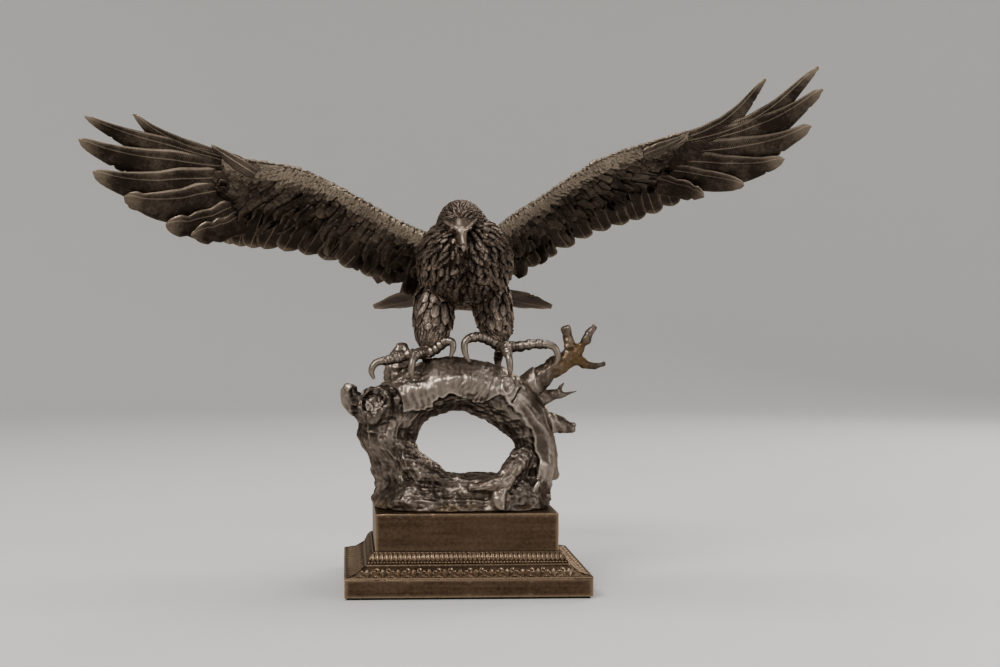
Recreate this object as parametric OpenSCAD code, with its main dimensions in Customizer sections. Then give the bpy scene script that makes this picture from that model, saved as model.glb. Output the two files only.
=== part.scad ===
// Cast-bronze statuette: an eagle with raised wings perched on a ring-shaped log,
// on a stepped rectangular plinth.
// Millimetres, +Z up, origin at the middle of the plinth's underside.
// The eagle faces -Y, so its left wing is on the +X side.

/* [Plinth] */
// Width of the plinth along X
plinth_w = 176; // [170:1:186]
// Depth of the plinth along Y
plinth_d = 154; // [146:1:164]
// Height of the bottom slab above the felt
slab_h = 13; // [12:0.5:15]
// Thickness of the felt under the slab
felt_t = 1.5; // [1:0.5:2]
// Height of the cove band
cove_h = 8.5; // [7:0.5:10]
// Height of the leaf moulding
moulding_h = 8; // [7:0.5:9]
// Height of the upper block above the leaf moulding
block_h = 27; // [25:1:28]
// How far the upper block stands in from the slab's edge
block_inset = 22; // [20:1:24]
// How far the cove draws in before the leaf moulding starts
cove_inset = 16; // [14:1:18]
// Wall thickness of the hollow castings
cast_wall = 4; // [3:0.5:5]

/* [Fasteners] */
// Diameter of the two tie rods that hold the log to the plinth
rod_d = 6; // [5:0.5:6]
// Distance between the two tie rods
rod_spacing = 76; // [66:1:84]
// Clearance of the rods in the slab and block
rod_clearance = 0.4; // [0.2:0.1:0.8]
// Diameter of the dowels that fix the wings to the body
wing_dowel_d = 6; // [4:0.5:7]
// Diameter of the pins that fix the feet to the log
foot_pin_d = 2.4; // [2:0.2:2.8]

/* [Wings] */
// Tilt of the left wing's chord from vertical, in degrees
left_tilt = 46; // [40:1:52]
// Tilt of the right wing's chord from vertical, in degrees
right_tilt = 38; // [32:1:44]
// Number of secondary feathers on each wing
secondary_count = 10; // [8:1:11]
// Thickness of a flight feather's blade at its root
blade_t = 2.4; // [2:0.1:3]

/* [Tail] */
// Length of the middle tail feather
tail_len = 98; // [88:1:100]
// Spread of the tail fan from edge to edge, in degrees
tail_spread = 92; // [80:1:96]

/* [Log] */
// Depth of the bark's broad lumps as a share of the log's radius
bark_lump = 0.07; // [0:0.01:0.1]

/* [Hidden] */

$fn = 48;
eps = 0.01;

bronze_dark = [0.20, 0.15, 0.11];
bronze_mid = [0.30, 0.22, 0.15];
bronze_warm = [0.34, 0.22, 0.13];
bronze_light = [0.45, 0.35, 0.24];
steel = [0.60, 0.60, 0.62];
felt_green = [0.10, 0.22, 0.14];

// Heights of the plinth's steps
slab_top = felt_t + slab_h;
cove_top = slab_top + cove_h;
moulding_top = cove_top + moulding_h;
block_top = moulding_top + block_h;

// Half sizes of the plinth's steps
slab_x = plinth_w / 2;
slab_y = plinth_d / 2;
block_x = slab_x - block_inset;
block_y = slab_y - block_inset;
felt_margin = 2;
cove_arc = 55;

// Tie rods, washers and nuts
washer_t = 1.6;
washer_d = 14;
nut_t = 5;
nut_af = 10;
rod_end_below = 2;
rod_depth_in_log = 14;
slab_deck_bottom = slab_top - cast_wall;
through_all = 100;
overrun = 10;

// Log: its centre line runs up the left trunk, over the arch and down the right trunk,
// and both ends run on below the trunks' feet, where the root base's top cuts them off.
// Each row is x, y, z, half thickness in the plane of the ring, half depth along Y.
log_foot_z = block_top + 21;
log_rows = [
    [-35, 3, 64, 29, 32],
    [-46, 2, 79, 25, 31],
    [-51.5, 1, 89, 22.5, 29],
    [-55.5, 0, 98, 22, 27.5],
    [-57, -1, 108, 22, 27],
    [-54, -2, 121, 23, 26],
    [-42, -3, 135, 21, 25],
    [-22, -4, 145, 20, 25],
    [0, -5, 148, 19.5, 24],
    [21, -5, 142, 19.5, 24],
    [40, -4, 129, 18.5, 23],
    [51, -2, 112, 15, 23],
    [54, 0, 98, 14, 24],
    [54, 1, 88, 16, 26],
    [51, 2, 79, 19, 28],
    [45, 3, 64, 22, 30]
];
log_steps = 2;
log_sides = 20;
left_cut = 12;
right_cut = 20;

// Eagle: rows of x, y, z, half width, half height along the body
body_rows = [
    [0, -50, 252, 6, 7],
    [0, -46, 251, 18, 15],
    [1, -36, 248, 27, 23],
    [1, -22, 243, 33, 28],
    [2, -4, 237, 35, 30],
    [2, 14, 230, 33, 27],
    [3, 32, 223, 25, 20],
    [3, 48, 218, 18, 12],
    [4, 62, 215, 15, 6],
    [4, 66, 214.5, 8, 3]
];
head_rows = [
    [0, -14, 254, 20, 18],
    [-1, -24, 260, 20.5, 19],
    [-3, -35, 266, 17, 17],
    [-5, -46, 268, 14, 14.5],
    [-5, -55, 266.5, 12.5, 12],
    [-5, -61, 263.5, 9, 9],
    [-5, -65, 261.5, 4.5, 5.5]
];
beak_rows = [
    [-5, -60, 263, 5, 6],
    [-5, -67, 261.5, 4.6, 5],
    [-4.7, -72.5, 257.5, 3.6, 4],
    [-4.4, -75, 252, 2.2, 2.6],
    [-4.2, -74.5, 247, 1, 1.2],
    [-4.2, -73.5, 244.5, 0.3, 0.4]
];
thigh_left_rows = [
    [19, 8, 222, 9, 10],
    [21, 5, 216, 14, 17],
    [23, 1, 206, 14.5, 16],
    [24.5, -4, 195, 13, 13.5],
    [26, -8, 186, 10.5, 10.5],
    [27, -10, 180, 6.5, 7],
    [27, -10.5, 178, 4, 4]
];
thigh_right_rows = [
    [-17, 8, 222, 9, 10],
    [-19, 5, 215, 15, 17],
    [-21, 1, 204, 15, 16],
    [-22, -3, 193, 14.2, 14],
    [-24, -7, 182, 12, 11.5],
    [-26, -9, 176, 7.5, 8],
    [-26.5, -10, 173.5, 4, 4]
];

// Leading edges of the wings from shoulder to hand
left_edge = [[24, 0, 262], [38, 6, 274], [60, 14, 288], [84, 21, 304],
             [108, 26, 318], [133, 29, 327], [154, 30, 333], [176, 30, 340]];
right_edge = [[-22, 0, 259], [-46, 9, 270], [-70, 16, 284], [-98, 22, 300],
              [-123, 26, 310], [-150, 28, 315], [-166, 29, 316], [-180, 30, 317]];

// Full chord of each wing at the shoulder, middle and hand
left_chords = [66, 81, 70];
right_chords = [60, 80, 73];
covert_share = 0.56;

// Middles and tips of the primaries, from the leading feather to the trailing one
left_mids = [[203, 32, 343], [224, 34, 341], [228, 37, 335], [222, 40, 320],
             [217, 44, 308], [200, 49, 299], [178, 54, 292]];
left_tips = [[236, 31, 381], [278, 33, 391], [282, 35, 374], [274, 38, 346],
             [254, 42, 321], [224, 47, 301], [193, 52, 293]];
right_mids = [[-218, 32, 328], [-240, 34, 328], [-248, 37, 314], [-240, 41, 294],
              [-221, 46, 279], [-195, 51, 265], [-184, 56, 260]];
right_tips = [[-247, 31, 352], [-284, 33, 350], [-289, 35, 333], [-279, 39, 309],
              [-256, 43, 291], [-225, 48, 270], [-205, 53, 263]];

// Half widths of the primaries, and how full their outer halves are from 0 to 1
primary_half_w = [6.5, 8, 9.5, 10, 10, 10, 9.5];
primary_full = [0, 0.1, 0.5, 0.8, 0.9, 1, 1];
primary_count = 7;
primary_layer = 1.5;
primary_lift = 2.4;
primary_shingle = 7;

// Lines along the hand on which the primaries root, leading end first
left_hand = [[158, 31, 325], [136, 54, 302]];
right_hand = [[-162, 31, 309], [-140, 52, 282]];

// Tail fan
tail_root = [4, 50, 220.5];
tail_yaw = 4;
tail_droop = 8;
tail_count = 9;
tail_half_w = 10;
tail_layer = 0.9;
tail_root_spread = 7;
tail_rise = 1;

// ---------------------------------------------------------------- geometry

function unit(v) = v / norm(v);
function xyz(row) = [row[0], row[1], row[2]];
function lerp(a, b, s) = a + (b - a) * s;

// Three values at 0, 0.5 and 1 joined by a parabola
function through(v, s) =
    v[0] * (1 - s) * (1 - 2 * s) + v[1] * 4 * s * (1 - s) + v[2] * s * (2 * s - 1);

function catmull(a, b, c, d, t) =
    0.5 * (2 * b + (c - a) * t + (2 * a - 5 * b + 4 * c - d) * t * t
           + (3 * b - a - 3 * c + d) * t * t * t);

// Point on a smooth curve through rows, at s from 0 to 1
function along(rows, s) =
    let (last = len(rows) - 1,
         k = min(floor(s * last), last - 1),
         t = s * last - k)
    catmull(rows[max(k - 1, 0)], rows[k], rows[k + 1], rows[min(k + 2, last)], t);

function smooth(rows, steps) =
    let (n = steps * (len(rows) - 1))
    [for (i = [0:n]) along(rows, i / n)];

function heading(rows, i) =
    unit(xyz(rows[min(i + 1, len(rows) - 1)]) - xyz(rows[max(i - 1, 0)]));

// Broad lumps round a branch, between -1 and 1
function lumps(q, k) =
    0.5 * sin(3 * q + 47 * k) + 0.3 * sin(5 * q - 31 * k) + 0.2 * sin(2 * q + 83 * k);

// One ring round the point c: u lies across the path and v completes the pair
function ring(c, dir, ref, a, b, sides, lump, k) =
    let (u = unit(cross(ref, dir)), v = cross(dir, u))
    [for (j = [0:sides - 1])
        let (q = 360 * j / sides, r = 1 + lump * lumps(q, k))
        c + r * (a * cos(q) * u + b * sin(q) * v)];

function sweep(rows, ref, sides, lump = 0) =
    [for (i = [0:len(rows) - 1])
        ring(xyz(rows[i]), heading(rows, i), ref, rows[i][3], rows[i][4], sides, lump, i)];

function middle(points) = [for (p = points) 1] * points / len(points);

// Closed solid through a list of rings, with a fan of triangles on each end
module solid(rings) {
    m = len(rings[0]);
    n = len(rings);
    points = [for (r = rings) each r, middle(rings[0]), middle(rings[n - 1])];
    sides = [for (i = [0:n - 2], j = [0:m - 1])
        let (a = i * m + j, b = i * m + (j + 1) % m)
        each [[a, b + m, b], [a, a + m, b + m]]];
    first = [for (j = [0:m - 1]) [n * m, j, (j + 1) % m]];
    last = [for (j = [0:m - 1])
        [n * m + 1, (n - 1) * m + (j + 1) % m, (n - 1) * m + j]];
    polyhedron(points, concat(sides, first, last));
}

module limb(rows, steps, sides, ref, lump = 0) {
    solid(sweep(smooth(rows, steps), ref, sides, lump));
}

// ---------------------------------------------------------------- plinth

module felt_pad() {
    color(felt_green)
    translate([felt_margin - slab_x, felt_margin - slab_y, 0])
    cube([plinth_w - 2 * felt_margin, plinth_d - 2 * felt_margin, felt_t]);
}

module at_rods() {
    for (side = [-1, 1]) translate([side * rod_spacing / 2, 0, 0]) children();
}

module plinth_slab() {
    color(bronze_warm)
    difference() {
        translate([-slab_x, -slab_y, felt_t]) cube([plinth_w, plinth_d, slab_h]);
        translate([cast_wall - slab_x, cast_wall - slab_y, felt_t - eps])
        cube([plinth_w - 2 * cast_wall, plinth_d - 2 * cast_wall, slab_h - cast_wall + eps]);
        at_rods() cylinder(d = rod_d + rod_clearance, h = through_all);
    }
}

module plinth_block() {
    color(bronze_warm)
    difference() {
        translate([-block_x, -block_y, slab_top])
        cube([2 * block_x, 2 * block_y, block_top - slab_top]);
        translate([cast_wall - block_x, cast_wall - block_y, slab_top - eps])
        cube([2 * (block_x - cast_wall), 2 * (block_y - cast_wall),
              block_top - slab_top - cast_wall + eps]);
        at_rods() cylinder(d = rod_d + rod_clearance, h = through_all);
    }
}

// Section of the cove: distance out from the block, height above the slab
function cove_section() =
    let (reach = block_inset, rim = 1, steps = 8)
    concat(
        [[0, 0], [reach, 0], [reach, rim]],
        [for (i = [1:steps])
            let (q = cove_arc * i / steps)
            [reach - cove_inset * sin(q) / sin(cove_arc),
             rim + (cove_h - rim) * (1 - cos(q)) / (1 - cos(cove_arc))]],
        [[0, cove_h]]
    );

// Section of the leaf moulding: a bead below and a swelling leaf band above it
function moulding_section() =
    let (foot = block_inset - cove_inset, bead = 1.5, lip = 1.2, swell = 0.8, steps = 8)
    concat(
        [[0, 0], [foot, 0], [foot, bead]],
        [for (i = [0:steps])
            let (s = i / steps)
            [lerp(foot - 1, lip, s) + swell * sin(180 * s), lerp(bead, moulding_h, s)]],
        [[0, moulding_h]]
    );

// One mitred strip against the block's face, on the side turned to the given angle
module strip(section, z, turn) {
    half = turn % 180 == 0 ? block_x : block_y;
    out = turn % 180 == 0 ? block_y : block_x;
    reach = block_inset;
    rotate([0, 0, turn])
    intersection() {
        translate([-half - reach, -out, z])
        rotate([90, 0, 90])
        linear_extrude(2 * (half + reach))
        polygon([for (p = section) [-p[0], p[1]]]);
        translate([0, 0, z - 1])
        linear_extrude(cove_h + moulding_h)
        polygon([[-half, -out], [half, -out],
                 [half + reach, -out - reach], [-half - reach, -out - reach]]);
    }
}

module cove(turn) { color(bronze_warm) strip(cove_section(), slab_top, turn); }

module leaf_moulding(turn) { color(bronze_warm) strip(moulding_section(), cove_top, turn); }

// ---------------------------------------------------------------- fasteners

module tie_rods() {
    bottom = slab_deck_bottom - washer_t - nut_t - rod_end_below;
    color(steel)
    at_rods()
    translate([0, 0, bottom])
    cylinder(d = rod_d, h = block_top + rod_depth_in_log - bottom);
}

module tie_washers() {
    color(steel)
    at_rods()
    translate([0, 0, slab_deck_bottom - washer_t])
    difference() {
        cylinder(d = washer_d, h = washer_t);
        translate([0, 0, -1]) cylinder(d = rod_d + rod_clearance, h = washer_t + 2);
    }
}

module tie_nuts() {
    color(steel)
    at_rods()
    translate([0, 0, slab_deck_bottom - washer_t - nut_t])
    difference() {
        cylinder(d = nut_af / cos(30), h = nut_t, $fn = 6);
        translate([0, 0, -1]) cylinder(d = rod_d, h = nut_t + 2);
    }
}

// Wing dowels run from inside the body out along each arm
left_dowel = [[14, 5, 244], [42, 19, 265]];
right_dowel = [[-10, 3.5, 243], [-43, 17.5, 256]];

module dowel_pair(d, extra = 0) {
    for (ends = [left_dowel, right_dowel]) {
        run = ends[1] - ends[0];
        translate(ends[0])
        rotate([0, acos(run[2] / norm(run)), atan2(run[1], run[0])])
        cylinder(d = d, h = norm(run) + extra);
    }
}

module wing_dowels() { color(steel) dowel_pair(wing_dowel_d); }

// Feet: each pin runs down through the hind toe into the arch
left_pin = [27, 0];
right_pin = [-26, 2];
pin_top = 172;
pin_bottom = 146;

module pins(d, bottom, top) {
    for (p = [left_pin, right_pin])
    translate([p[0], p[1], bottom])
    cylinder(d = d, h = top - bottom);
}

module foot_pins() { color(steel) pins(foot_pin_d, pin_bottom, pin_top); }

// ---------------------------------------------------------------- log

log_rings = sweep(smooth(log_rows, log_steps), [0, 1, 0], log_sides, bark_lump);

module log_part(first, last) { solid([for (i = [first:last]) log_rings[i]]); }

// The part of a trunk above the root base's level top
module standing() {
    difference() {
        children();
        translate([-slab_x, -slab_y, 0]) cube([plinth_w, plinth_d, log_foot_z]);
    }
}

module log_left_trunk() { color(bronze_mid) standing() log_part(0, left_cut); }

module log_arch() {
    color(bronze_light)
    difference() {
        log_part(left_cut, right_cut);
        pins(foot_pin_d, pin_bottom, pin_top + overrun);
    }
}

module log_right_trunk() {
    color(bronze_mid) standing() log_part(right_cut, len(log_rings) - 1);
}

// Root mass: level rings from the plinth up to the trunks' feet, each a rounded
// rectangle whose corners are squared off by the power base_squareness
base_rings = 6;
base_sides = 32;
base_x = 64;
base_bulge = 2;
base_y_foot = 48;
base_y_top = 33;
base_squareness = 3.5;
base_lump = 0.035;

function base_ring(i) =
    let (s = i / (base_rings - 1),
         a = base_x + base_bulge * sin(180 * s),
         b = lerp(base_y_foot, base_y_top, s * s),
         n = base_squareness)
    [for (j = [0:base_sides - 1])
        let (q = 360 * j / base_sides,
             squared = pow(pow(abs(cos(q)), n) + pow(abs(sin(q)), n), -1 / n),
             r = squared * (1 + base_lump * lumps(2 * q, i)))
        [a * r * cos(q), b * r * sin(q), lerp(block_top, log_foot_z, s)]];

module log_root_base() {
    color(bronze_mid)
    difference() {
        solid([for (i = [0:base_rings - 1]) base_ring(i)]);
        at_rods()
        translate([0, 0, block_top - 1])
        cylinder(d = rod_d, h = rod_depth_in_log + 1);
    }
}

// Broken hollow stump on the left shoulder of the log, with a flap of bark beside it
stump_mouth = [-67, -32, 137];
stump_root = [-59, -8, 126];
stump_bore_d = 17;
stump_bore_depth = 15;
stump_bore_turn = 7;

module stump_bore() {
    out = unit(stump_mouth - stump_root);
    translate(stump_mouth)
    rotate([0, acos(out[2]), atan2(out[1], out[0])])
    rotate([0, 0, stump_bore_turn])
    translate([0, 0, -stump_bore_depth])
    cylinder(d = stump_bore_d, h = stump_bore_depth + overrun);
}

module hollow_stump() {
    color(bronze_mid) {
        difference() {
            limb([[each stump_root, 13, 14], [each lerp(stump_root, stump_mouth, 0.35), 14.5, 15.5],
                  [each lerp(stump_root, stump_mouth, 0.7), 13.3, 14.3],
                  [each stump_mouth, 12.5, 13.2]], 3, 16, [0, 0, 1], 0.08);
            stump_bore();
        }
        limb([[-68, -5, 124, 8, 8], [-76, -13, 132, 8, 6], [-82, -18, 139, 7.5, 4],
              [-86, -21, 147, 4.5, 2.4]], 3, 12, [0, 1, 0], 0.08);
    }
}

module bark_knob() {
    color(bronze_mid)
    limb([[-49, 8, 148, 8, 8], [-48, 10, 158, 11, 9], [-46, 11, 168, 9, 8],
          [-44, 11, 175, 6, 5], [-43, 11, 178, 2, 2]], 2, 12, [0, 1, 0], 0.1);
}

module forked_branch() {
    color(bronze_light) {
        limb([[50, -5, 146, 9, 9], [62, -5, 156, 8, 8], [74, -5, 165, 7, 7],
              [80, -5, 178, 4.6, 4.6], [79, -5, 189, 3.4, 3.4]], 3, 10, [0, 1, 0], 0.08);
        limb([[76, -5, 165, 5, 5], [86, -6, 171, 4.6, 4.6], [92, -6, 181, 3.2, 3.2],
              [98.5, -6, 191, 1.6, 1.6]], 3, 8, [0, 1, 0], 0.06);
        limb([[76, -5, 164, 5, 5], [88, -5, 165, 4.4, 4.4], [97, -5, 162, 3, 3],
              [107, -5, 162.5, 1.4, 1.4]], 3, 8, [0, 1, 0], 0.06);
    }
}

module twig() {
    color(bronze_light) {
        limb([[56, -6, 138, 5, 5], [66, -7, 140, 3.6, 3.6], [76, -8, 141, 2.8, 2.8],
              [86, -8, 143, 1.2, 1.2]], 3, 8, [0, 1, 0], 0.06);
        limb([[70, -7, 140, 2.4, 2.4], [73, -8, 145, 2, 2], [76, -8, 150, 0.8, 0.8]],
             3, 8, [0, 1, 0]);
    }
}

module branch_stub() {
    color(bronze_light)
    limb([[56, -4, 121, 5.5, 5.5], [66, -5, 118, 4, 4], [75, -6, 116, 3.6, 3.6],
          [83, -6, 114.5, 3, 3]], 3, 8, [0, 1, 0], 0.06);
}

// ---------------------------------------------------------------- eagle

// Body rings stand a little square at the shoulders
body_sides = 24;
shoulder_square = 0.12;

function body_ring(rows, i) =
    let (dir = heading(rows, i), u = unit(cross([0, 0, 1], dir)), v = cross(dir, u),
         a = rows[i][3], b = rows[i][4])
    [for (j = [0:body_sides - 1])
        let (q = 360 * j / body_sides,
             r = 1 + shoulder_square * max(sin(q), 0) * pow(sin(2 * q), 2))
        xyz(rows[i]) + r * (a * cos(q) * u + b * sin(q) * v)];

module body_core() {
    rows = smooth(body_rows, 2);
    solid([for (i = [0:len(rows) - 1]) body_ring(rows, i)]);
}

module body() {
    color(bronze_dark)
    difference() {
        body_core();
        dowel_pair(wing_dowel_d, overrun);
    }
}

module head() {
    color(bronze_dark) {
        limb(head_rows, 2, 20, [0, 0, 1]);
        limb(beak_rows, 2, 12, [0, 0.4, 1]);
    }
}

module thigh_left() { color(bronze_dark) limb(thigh_left_rows, 2, 16, [0, 1, 0]); }

module thigh_right() { color(bronze_dark) limb(thigh_right_rows, 2, 16, [0, 1, 0]); }

toe_r_ankle = 3.5;
toe_r_knuckle = 2.95;
talon_r_root = 2.7;
talon_r_tip = 0.4;

// Points with a radius that runs evenly from one value to another
function tapered(points, r_first, r_last) =
    let (n = len(points) - 1)
    [for (i = [0:n]) let (r = lerp(r_first, r_last, i / n)) [each points[i], r, r]];

// A toe is a row of points from the ankle to the last knuckle; the talon follows it down
module toe(points, talon) {
    limb(tapered(points, toe_r_ankle, toe_r_knuckle), 2, 8, [0.2, 0.3, 1]);
    limb(tapered(talon, talon_r_root, talon_r_tip), 2, 8, [0.2, 1, 0.1]);
}

module shank(low, high) {
    limb([[each high, 4.4, 4.6], [each lerp(high, low, 0.5), 4, 4.2], [each low, 4.4, 4.4]],
         2, 10, [0, 1, 0]);
}

left_ankle = [28, -11, 176];
right_ankle = [-27, -11, 171];

module foot_left() {
    color(bronze_light)
    difference() {
        union() {
            shank(left_ankle, [27, -9, 184]);
            toe([left_ankle, [20, -14, 181], [11, -17, 184], [2, -19, 182]],
                [[4, -18.5, 183], [0.5, -20, 179], [1, -21, 172], [4, -21.5, 165.5]]);
            toe([left_ankle, [30, -17, 177], [31, -24, 175], [32, -29, 170]],
                [[31.6, -27, 172], [32.4, -31, 168], [33, -32, 161], [33, -29, 155]]);
            toe([left_ankle, [40, -14, 176.5], [52, -17, 178.5], [63, -19, 178]],
                [[61, -18.5, 178.5], [67, -20, 176], [69.5, -20.5, 169.5], [67.5, -20, 163.5]]);
            toe([left_ankle, [28, -6, 173], [27.2, -2, 169], [27, 0, 165]],
                [[27, -1, 168], [27, 0, 164], [27, 0, 160], [27, 0, 156]]);
        }
        pins(foot_pin_d, pin_bottom - overrun, pin_top);
    }
}

module foot_right() {
    color(bronze_light)
    difference() {
        union() {
            shank(right_ankle, [-26.5, -9, 180]);
            toe([right_ankle, [-38, -15, 171], [-50, -18, 168], [-61, -20, 166]],
                [[-59, -19.5, 166.5], [-65, -20, 164.5], [-68, -21, 159], [-66, -21, 153]]);
            toe([right_ankle, [-31, -17, 172], [-35, -24, 171], [-37.5, -28, 168]],
                [[-37, -27, 169], [-38.5, -30, 165], [-39, -31, 159], [-38, -29, 153]]);
            toe([right_ankle, [-20, -14, 175], [-14, -17, 180], [-10, -19, 181]],
                [[-12, -18.5, 181], [-8.5, -20, 180], [-8, -21, 175], [-10, -21, 169]]);
            toe([right_ankle, [-26.5, -5, 169], [-26, -1, 166], [-26, 2, 163]],
                [[-26, 1, 165], [-26, 2, 162], [-26, 2, 160], [-26, 2, 157]]);
        }
        pins(foot_pin_d, pin_bottom - overrun, pin_top);
    }
}

// Directions in a wing: down the chord towards the trailing edge, and out of its back
function chord_dir(tilt) = [0, sin(tilt), -cos(tilt)];
function back_dir(tilt) = [0, cos(tilt), sin(tilt)];

arm_stations = 14;
arm_sides = 14;
arm_t_shoulder = 9.5;
arm_t_hand = 2.6;
arm_taper_start = 0.86;
arm_taper_rate = 3;

// The arm and its covert panel: a thick rounded leading edge thinning to the panel
function arm_ring(edge, chords, tilt, s) =
    let (c = covert_share * through(chords, s),
         t = lerp(arm_t_shoulder, arm_t_hand, pow(s, 0.8)),
         taper = 1 - arm_taper_rate * max(s - arm_taper_start, 0))
    [for (j = [0:arm_sides - 1])
        let (q = 360 * j / arm_sides, x = (1 - cos(q)) / 2)
        along(edge, s) + chord_dir(tilt) * c * taper * x
        + back_dir(tilt) * t * taper * (0.55 * sin(q) * (1.5 - 1.1 * x))];

function arm_rings(edge, chords, tilt) =
    [for (i = [0:arm_stations]) arm_ring(edge, chords, tilt, i / arm_stations)];

module wing_arm_left() {
    color(bronze_mid)
    difference() {
        solid(arm_rings(left_edge, left_chords, left_tilt));
        body_core();
        dowel_pair(wing_dowel_d);
    }
}

module wing_arm_right() {
    rings = arm_rings(right_edge, right_chords, right_tilt);
    color(bronze_mid)
    difference() {
        solid([for (i = [arm_stations:-1:0]) rings[i]]);
        body_core();
        dowel_pair(wing_dowel_d);
    }
}

// Half width of a feather as a share of its widest, from root to tip; a full one has
// a broad rounded outer half and the others taper to a narrow tip
function vane(s, full) =
    max(pow(sin(180 * pow(0.12 + 0.88 * s, 0.8 + 0.35 * full)), 0.6 - 0.25 * full), 0.05);

// A feather blade along a smooth path; normal points out of the blade's back
module feather(path, normal, half_w, thick, full) {
    line = smooth(path, 12 / (len(path) - 1));
    n = len(line) - 1;
    rows = [for (i = [0:n])
        let (s = i / n) [each line[i], half_w * vane(s, full), thick * (0.5 - 0.32 * s)]];
    solid(sweep(rows, normal, 8));
}

// Turns a feather's normal about its own length so that neighbours lie like shingles
function shingled(normal, dir, angle) = unit(normal * cos(angle) + cross(dir, normal) * sin(angle));

// Path of a primary through its root on the hand, its middle and its tip
function primary_path(hand, mid, tip, tilt, k) =
    let (lift = back_dir(tilt) * (k * primary_layer + primary_lift))
    [lerp(hand[0], hand[1], k / (primary_count - 1)) + lift, mid + 0.6 * lift, tip];

module primary(hand, mids, tips, tilt, k, shingle) {
    path = primary_path(hand, mids[k], tips[k], tilt, k);
    normal = shingled(back_dir(tilt), unit(path[2] - path[0]), shingle);
    color(bronze_mid) feather(path, normal, primary_half_w[k], blade_t, primary_full[k]);
}

module primary_left(number) {
    primary(left_hand, left_mids, left_tips, left_tilt, number - 1, primary_shingle);
}

module primary_right(number) {
    primary(right_hand, right_mids, right_tips, right_tilt, number - 1, -primary_shingle);
}

// Secondaries: they root under the arm's back and lean outwards
secondary_lean = 0.14;
secondary_first = 0.06;
secondary_last = 0.84;
secondary_half_w = 10.5;
secondary_lift = 3.4;
secondary_sag = 2;
secondary_shingle = 9;

module secondaries(edge, chords, tilt, shingle) {
    for (k = [0:secondary_count - 1]) {
        s = lerp(secondary_first, secondary_last, k / (secondary_count - 1));
        chord = through(chords, s);
        lift = back_dir(tilt) * secondary_lift;
        root = along(edge, s) + chord_dir(tilt) * chord * 0.3 + lift;
        tip = along(edge, min(s + secondary_lean, 1)) + chord_dir(tilt) * chord;
        normal = shingled(back_dir(tilt), unit(tip - root), shingle);
        sag = back_dir(tilt) * -secondary_sag;
        feather([root, lerp(root, tip, 0.35) + 0.5 * sag, lerp(root, tip, 0.7) + sag, tip],
                normal, secondary_half_w, blade_t, 1);
    }
}

module secondaries_left() {
    color(bronze_mid) secondaries(left_edge, left_chords, left_tilt, secondary_shingle);
}

module secondaries_right() {
    color(bronze_mid) secondaries(right_edge, right_chords, right_tilt, -secondary_shingle);
}

// Alula: the small thumb feather standing off the wrist's leading edge
module alula_left() {
    color(bronze_mid)
    feather([[141, 25, 322], [150, 24, 326], [162, 25, 330.5], [173, 28, 337.5]],
            back_dir(left_tilt), 5, blade_t, 0);
}

module alula_right() {
    color(bronze_mid)
    feather([[-155, 25, 306], [-165, 24, 312], [-176, 26, 319], [-188, 29, 328.5]],
            back_dir(right_tilt), 5, blade_t, 0);
}

// Tail feather 1 is on the eagle's right; the middle one lies on top
module tail_feather(number) {
    side = (number - (tail_count + 1) / 2) / ((tail_count - 1) / 2);
    angle = 90 - tail_yaw - side * tail_spread / 2;
    length = tail_len * (1 - 0.08 * side * side);
    flat = [cos(angle), sin(angle), 0];
    root = tail_root + [tail_root_spread * side, 0, -4 * tail_layer * abs(side)];
    tip = root + flat * length - [0, 0, length * sin(tail_droop)];
    normal = unit([0.16 * side, 0.08, 1]);
    rise = [0, 0, tail_rise];
    color(bronze_mid)
    feather([root, lerp(root, tip, 0.35) + rise, lerp(root, tip, 0.7) + rise, tip],
            normal, tail_half_w, blade_t, 0.9);
}

// ---------------------------------------------------------------- nodes

felt_pad();
plinth_slab();
plinth_block();
cove(0);  // cove_front
cove(90);  // cove_left
cove(180);  // cove_back
cove(270);  // cove_right
leaf_moulding(0);  // leaf_moulding_front
leaf_moulding(90);  // leaf_moulding_left
leaf_moulding(180);  // leaf_moulding_back
leaf_moulding(270);  // leaf_moulding_right
tie_rods();
tie_washers();
tie_nuts();
wing_dowels();
foot_pins();
log_root_base();
log_left_trunk();
log_arch();
log_right_trunk();
hollow_stump();
forked_branch();
twig();
branch_stub();
bark_knob();
body();
head();
thigh_left();
thigh_right();
foot_left();
foot_right();
wing_arm_left();
wing_arm_right();
secondaries_left();
secondaries_right();
alula_left();
alula_right();
primary_left(1);  // primary_left_1
primary_left(2);  // primary_left_2
primary_left(3);  // primary_left_3
primary_left(4);  // primary_left_4
primary_left(5);  // primary_left_5
primary_left(6);  // primary_left_6
primary_left(7);  // primary_left_7
primary_right(1);  // primary_right_1
primary_right(2);  // primary_right_2
primary_right(3);  // primary_right_3
primary_right(4);  // primary_right_4
primary_right(5);  // primary_right_5
primary_right(6);  // primary_right_6
primary_right(7);  // primary_right_7
tail_feather(1);  // tail_feather_1
tail_feather(2);  // tail_feather_2
tail_feather(3);  // tail_feather_3
tail_feather(4);  // tail_feather_4
tail_feather(5);  // tail_feather_5
tail_feather(6);  // tail_feather_6
tail_feather(7);  // tail_feather_7
tail_feather(8);  // tail_feather_8
tail_feather(9);  // tail_feather_9
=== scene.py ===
"""Looks of the cast-bronze eagle statuette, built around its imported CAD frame, in metres."""
import math

import bmesh
import bpy
import numpy as np
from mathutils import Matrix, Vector
from mathutils.bvhtree import BVHTree


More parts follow.
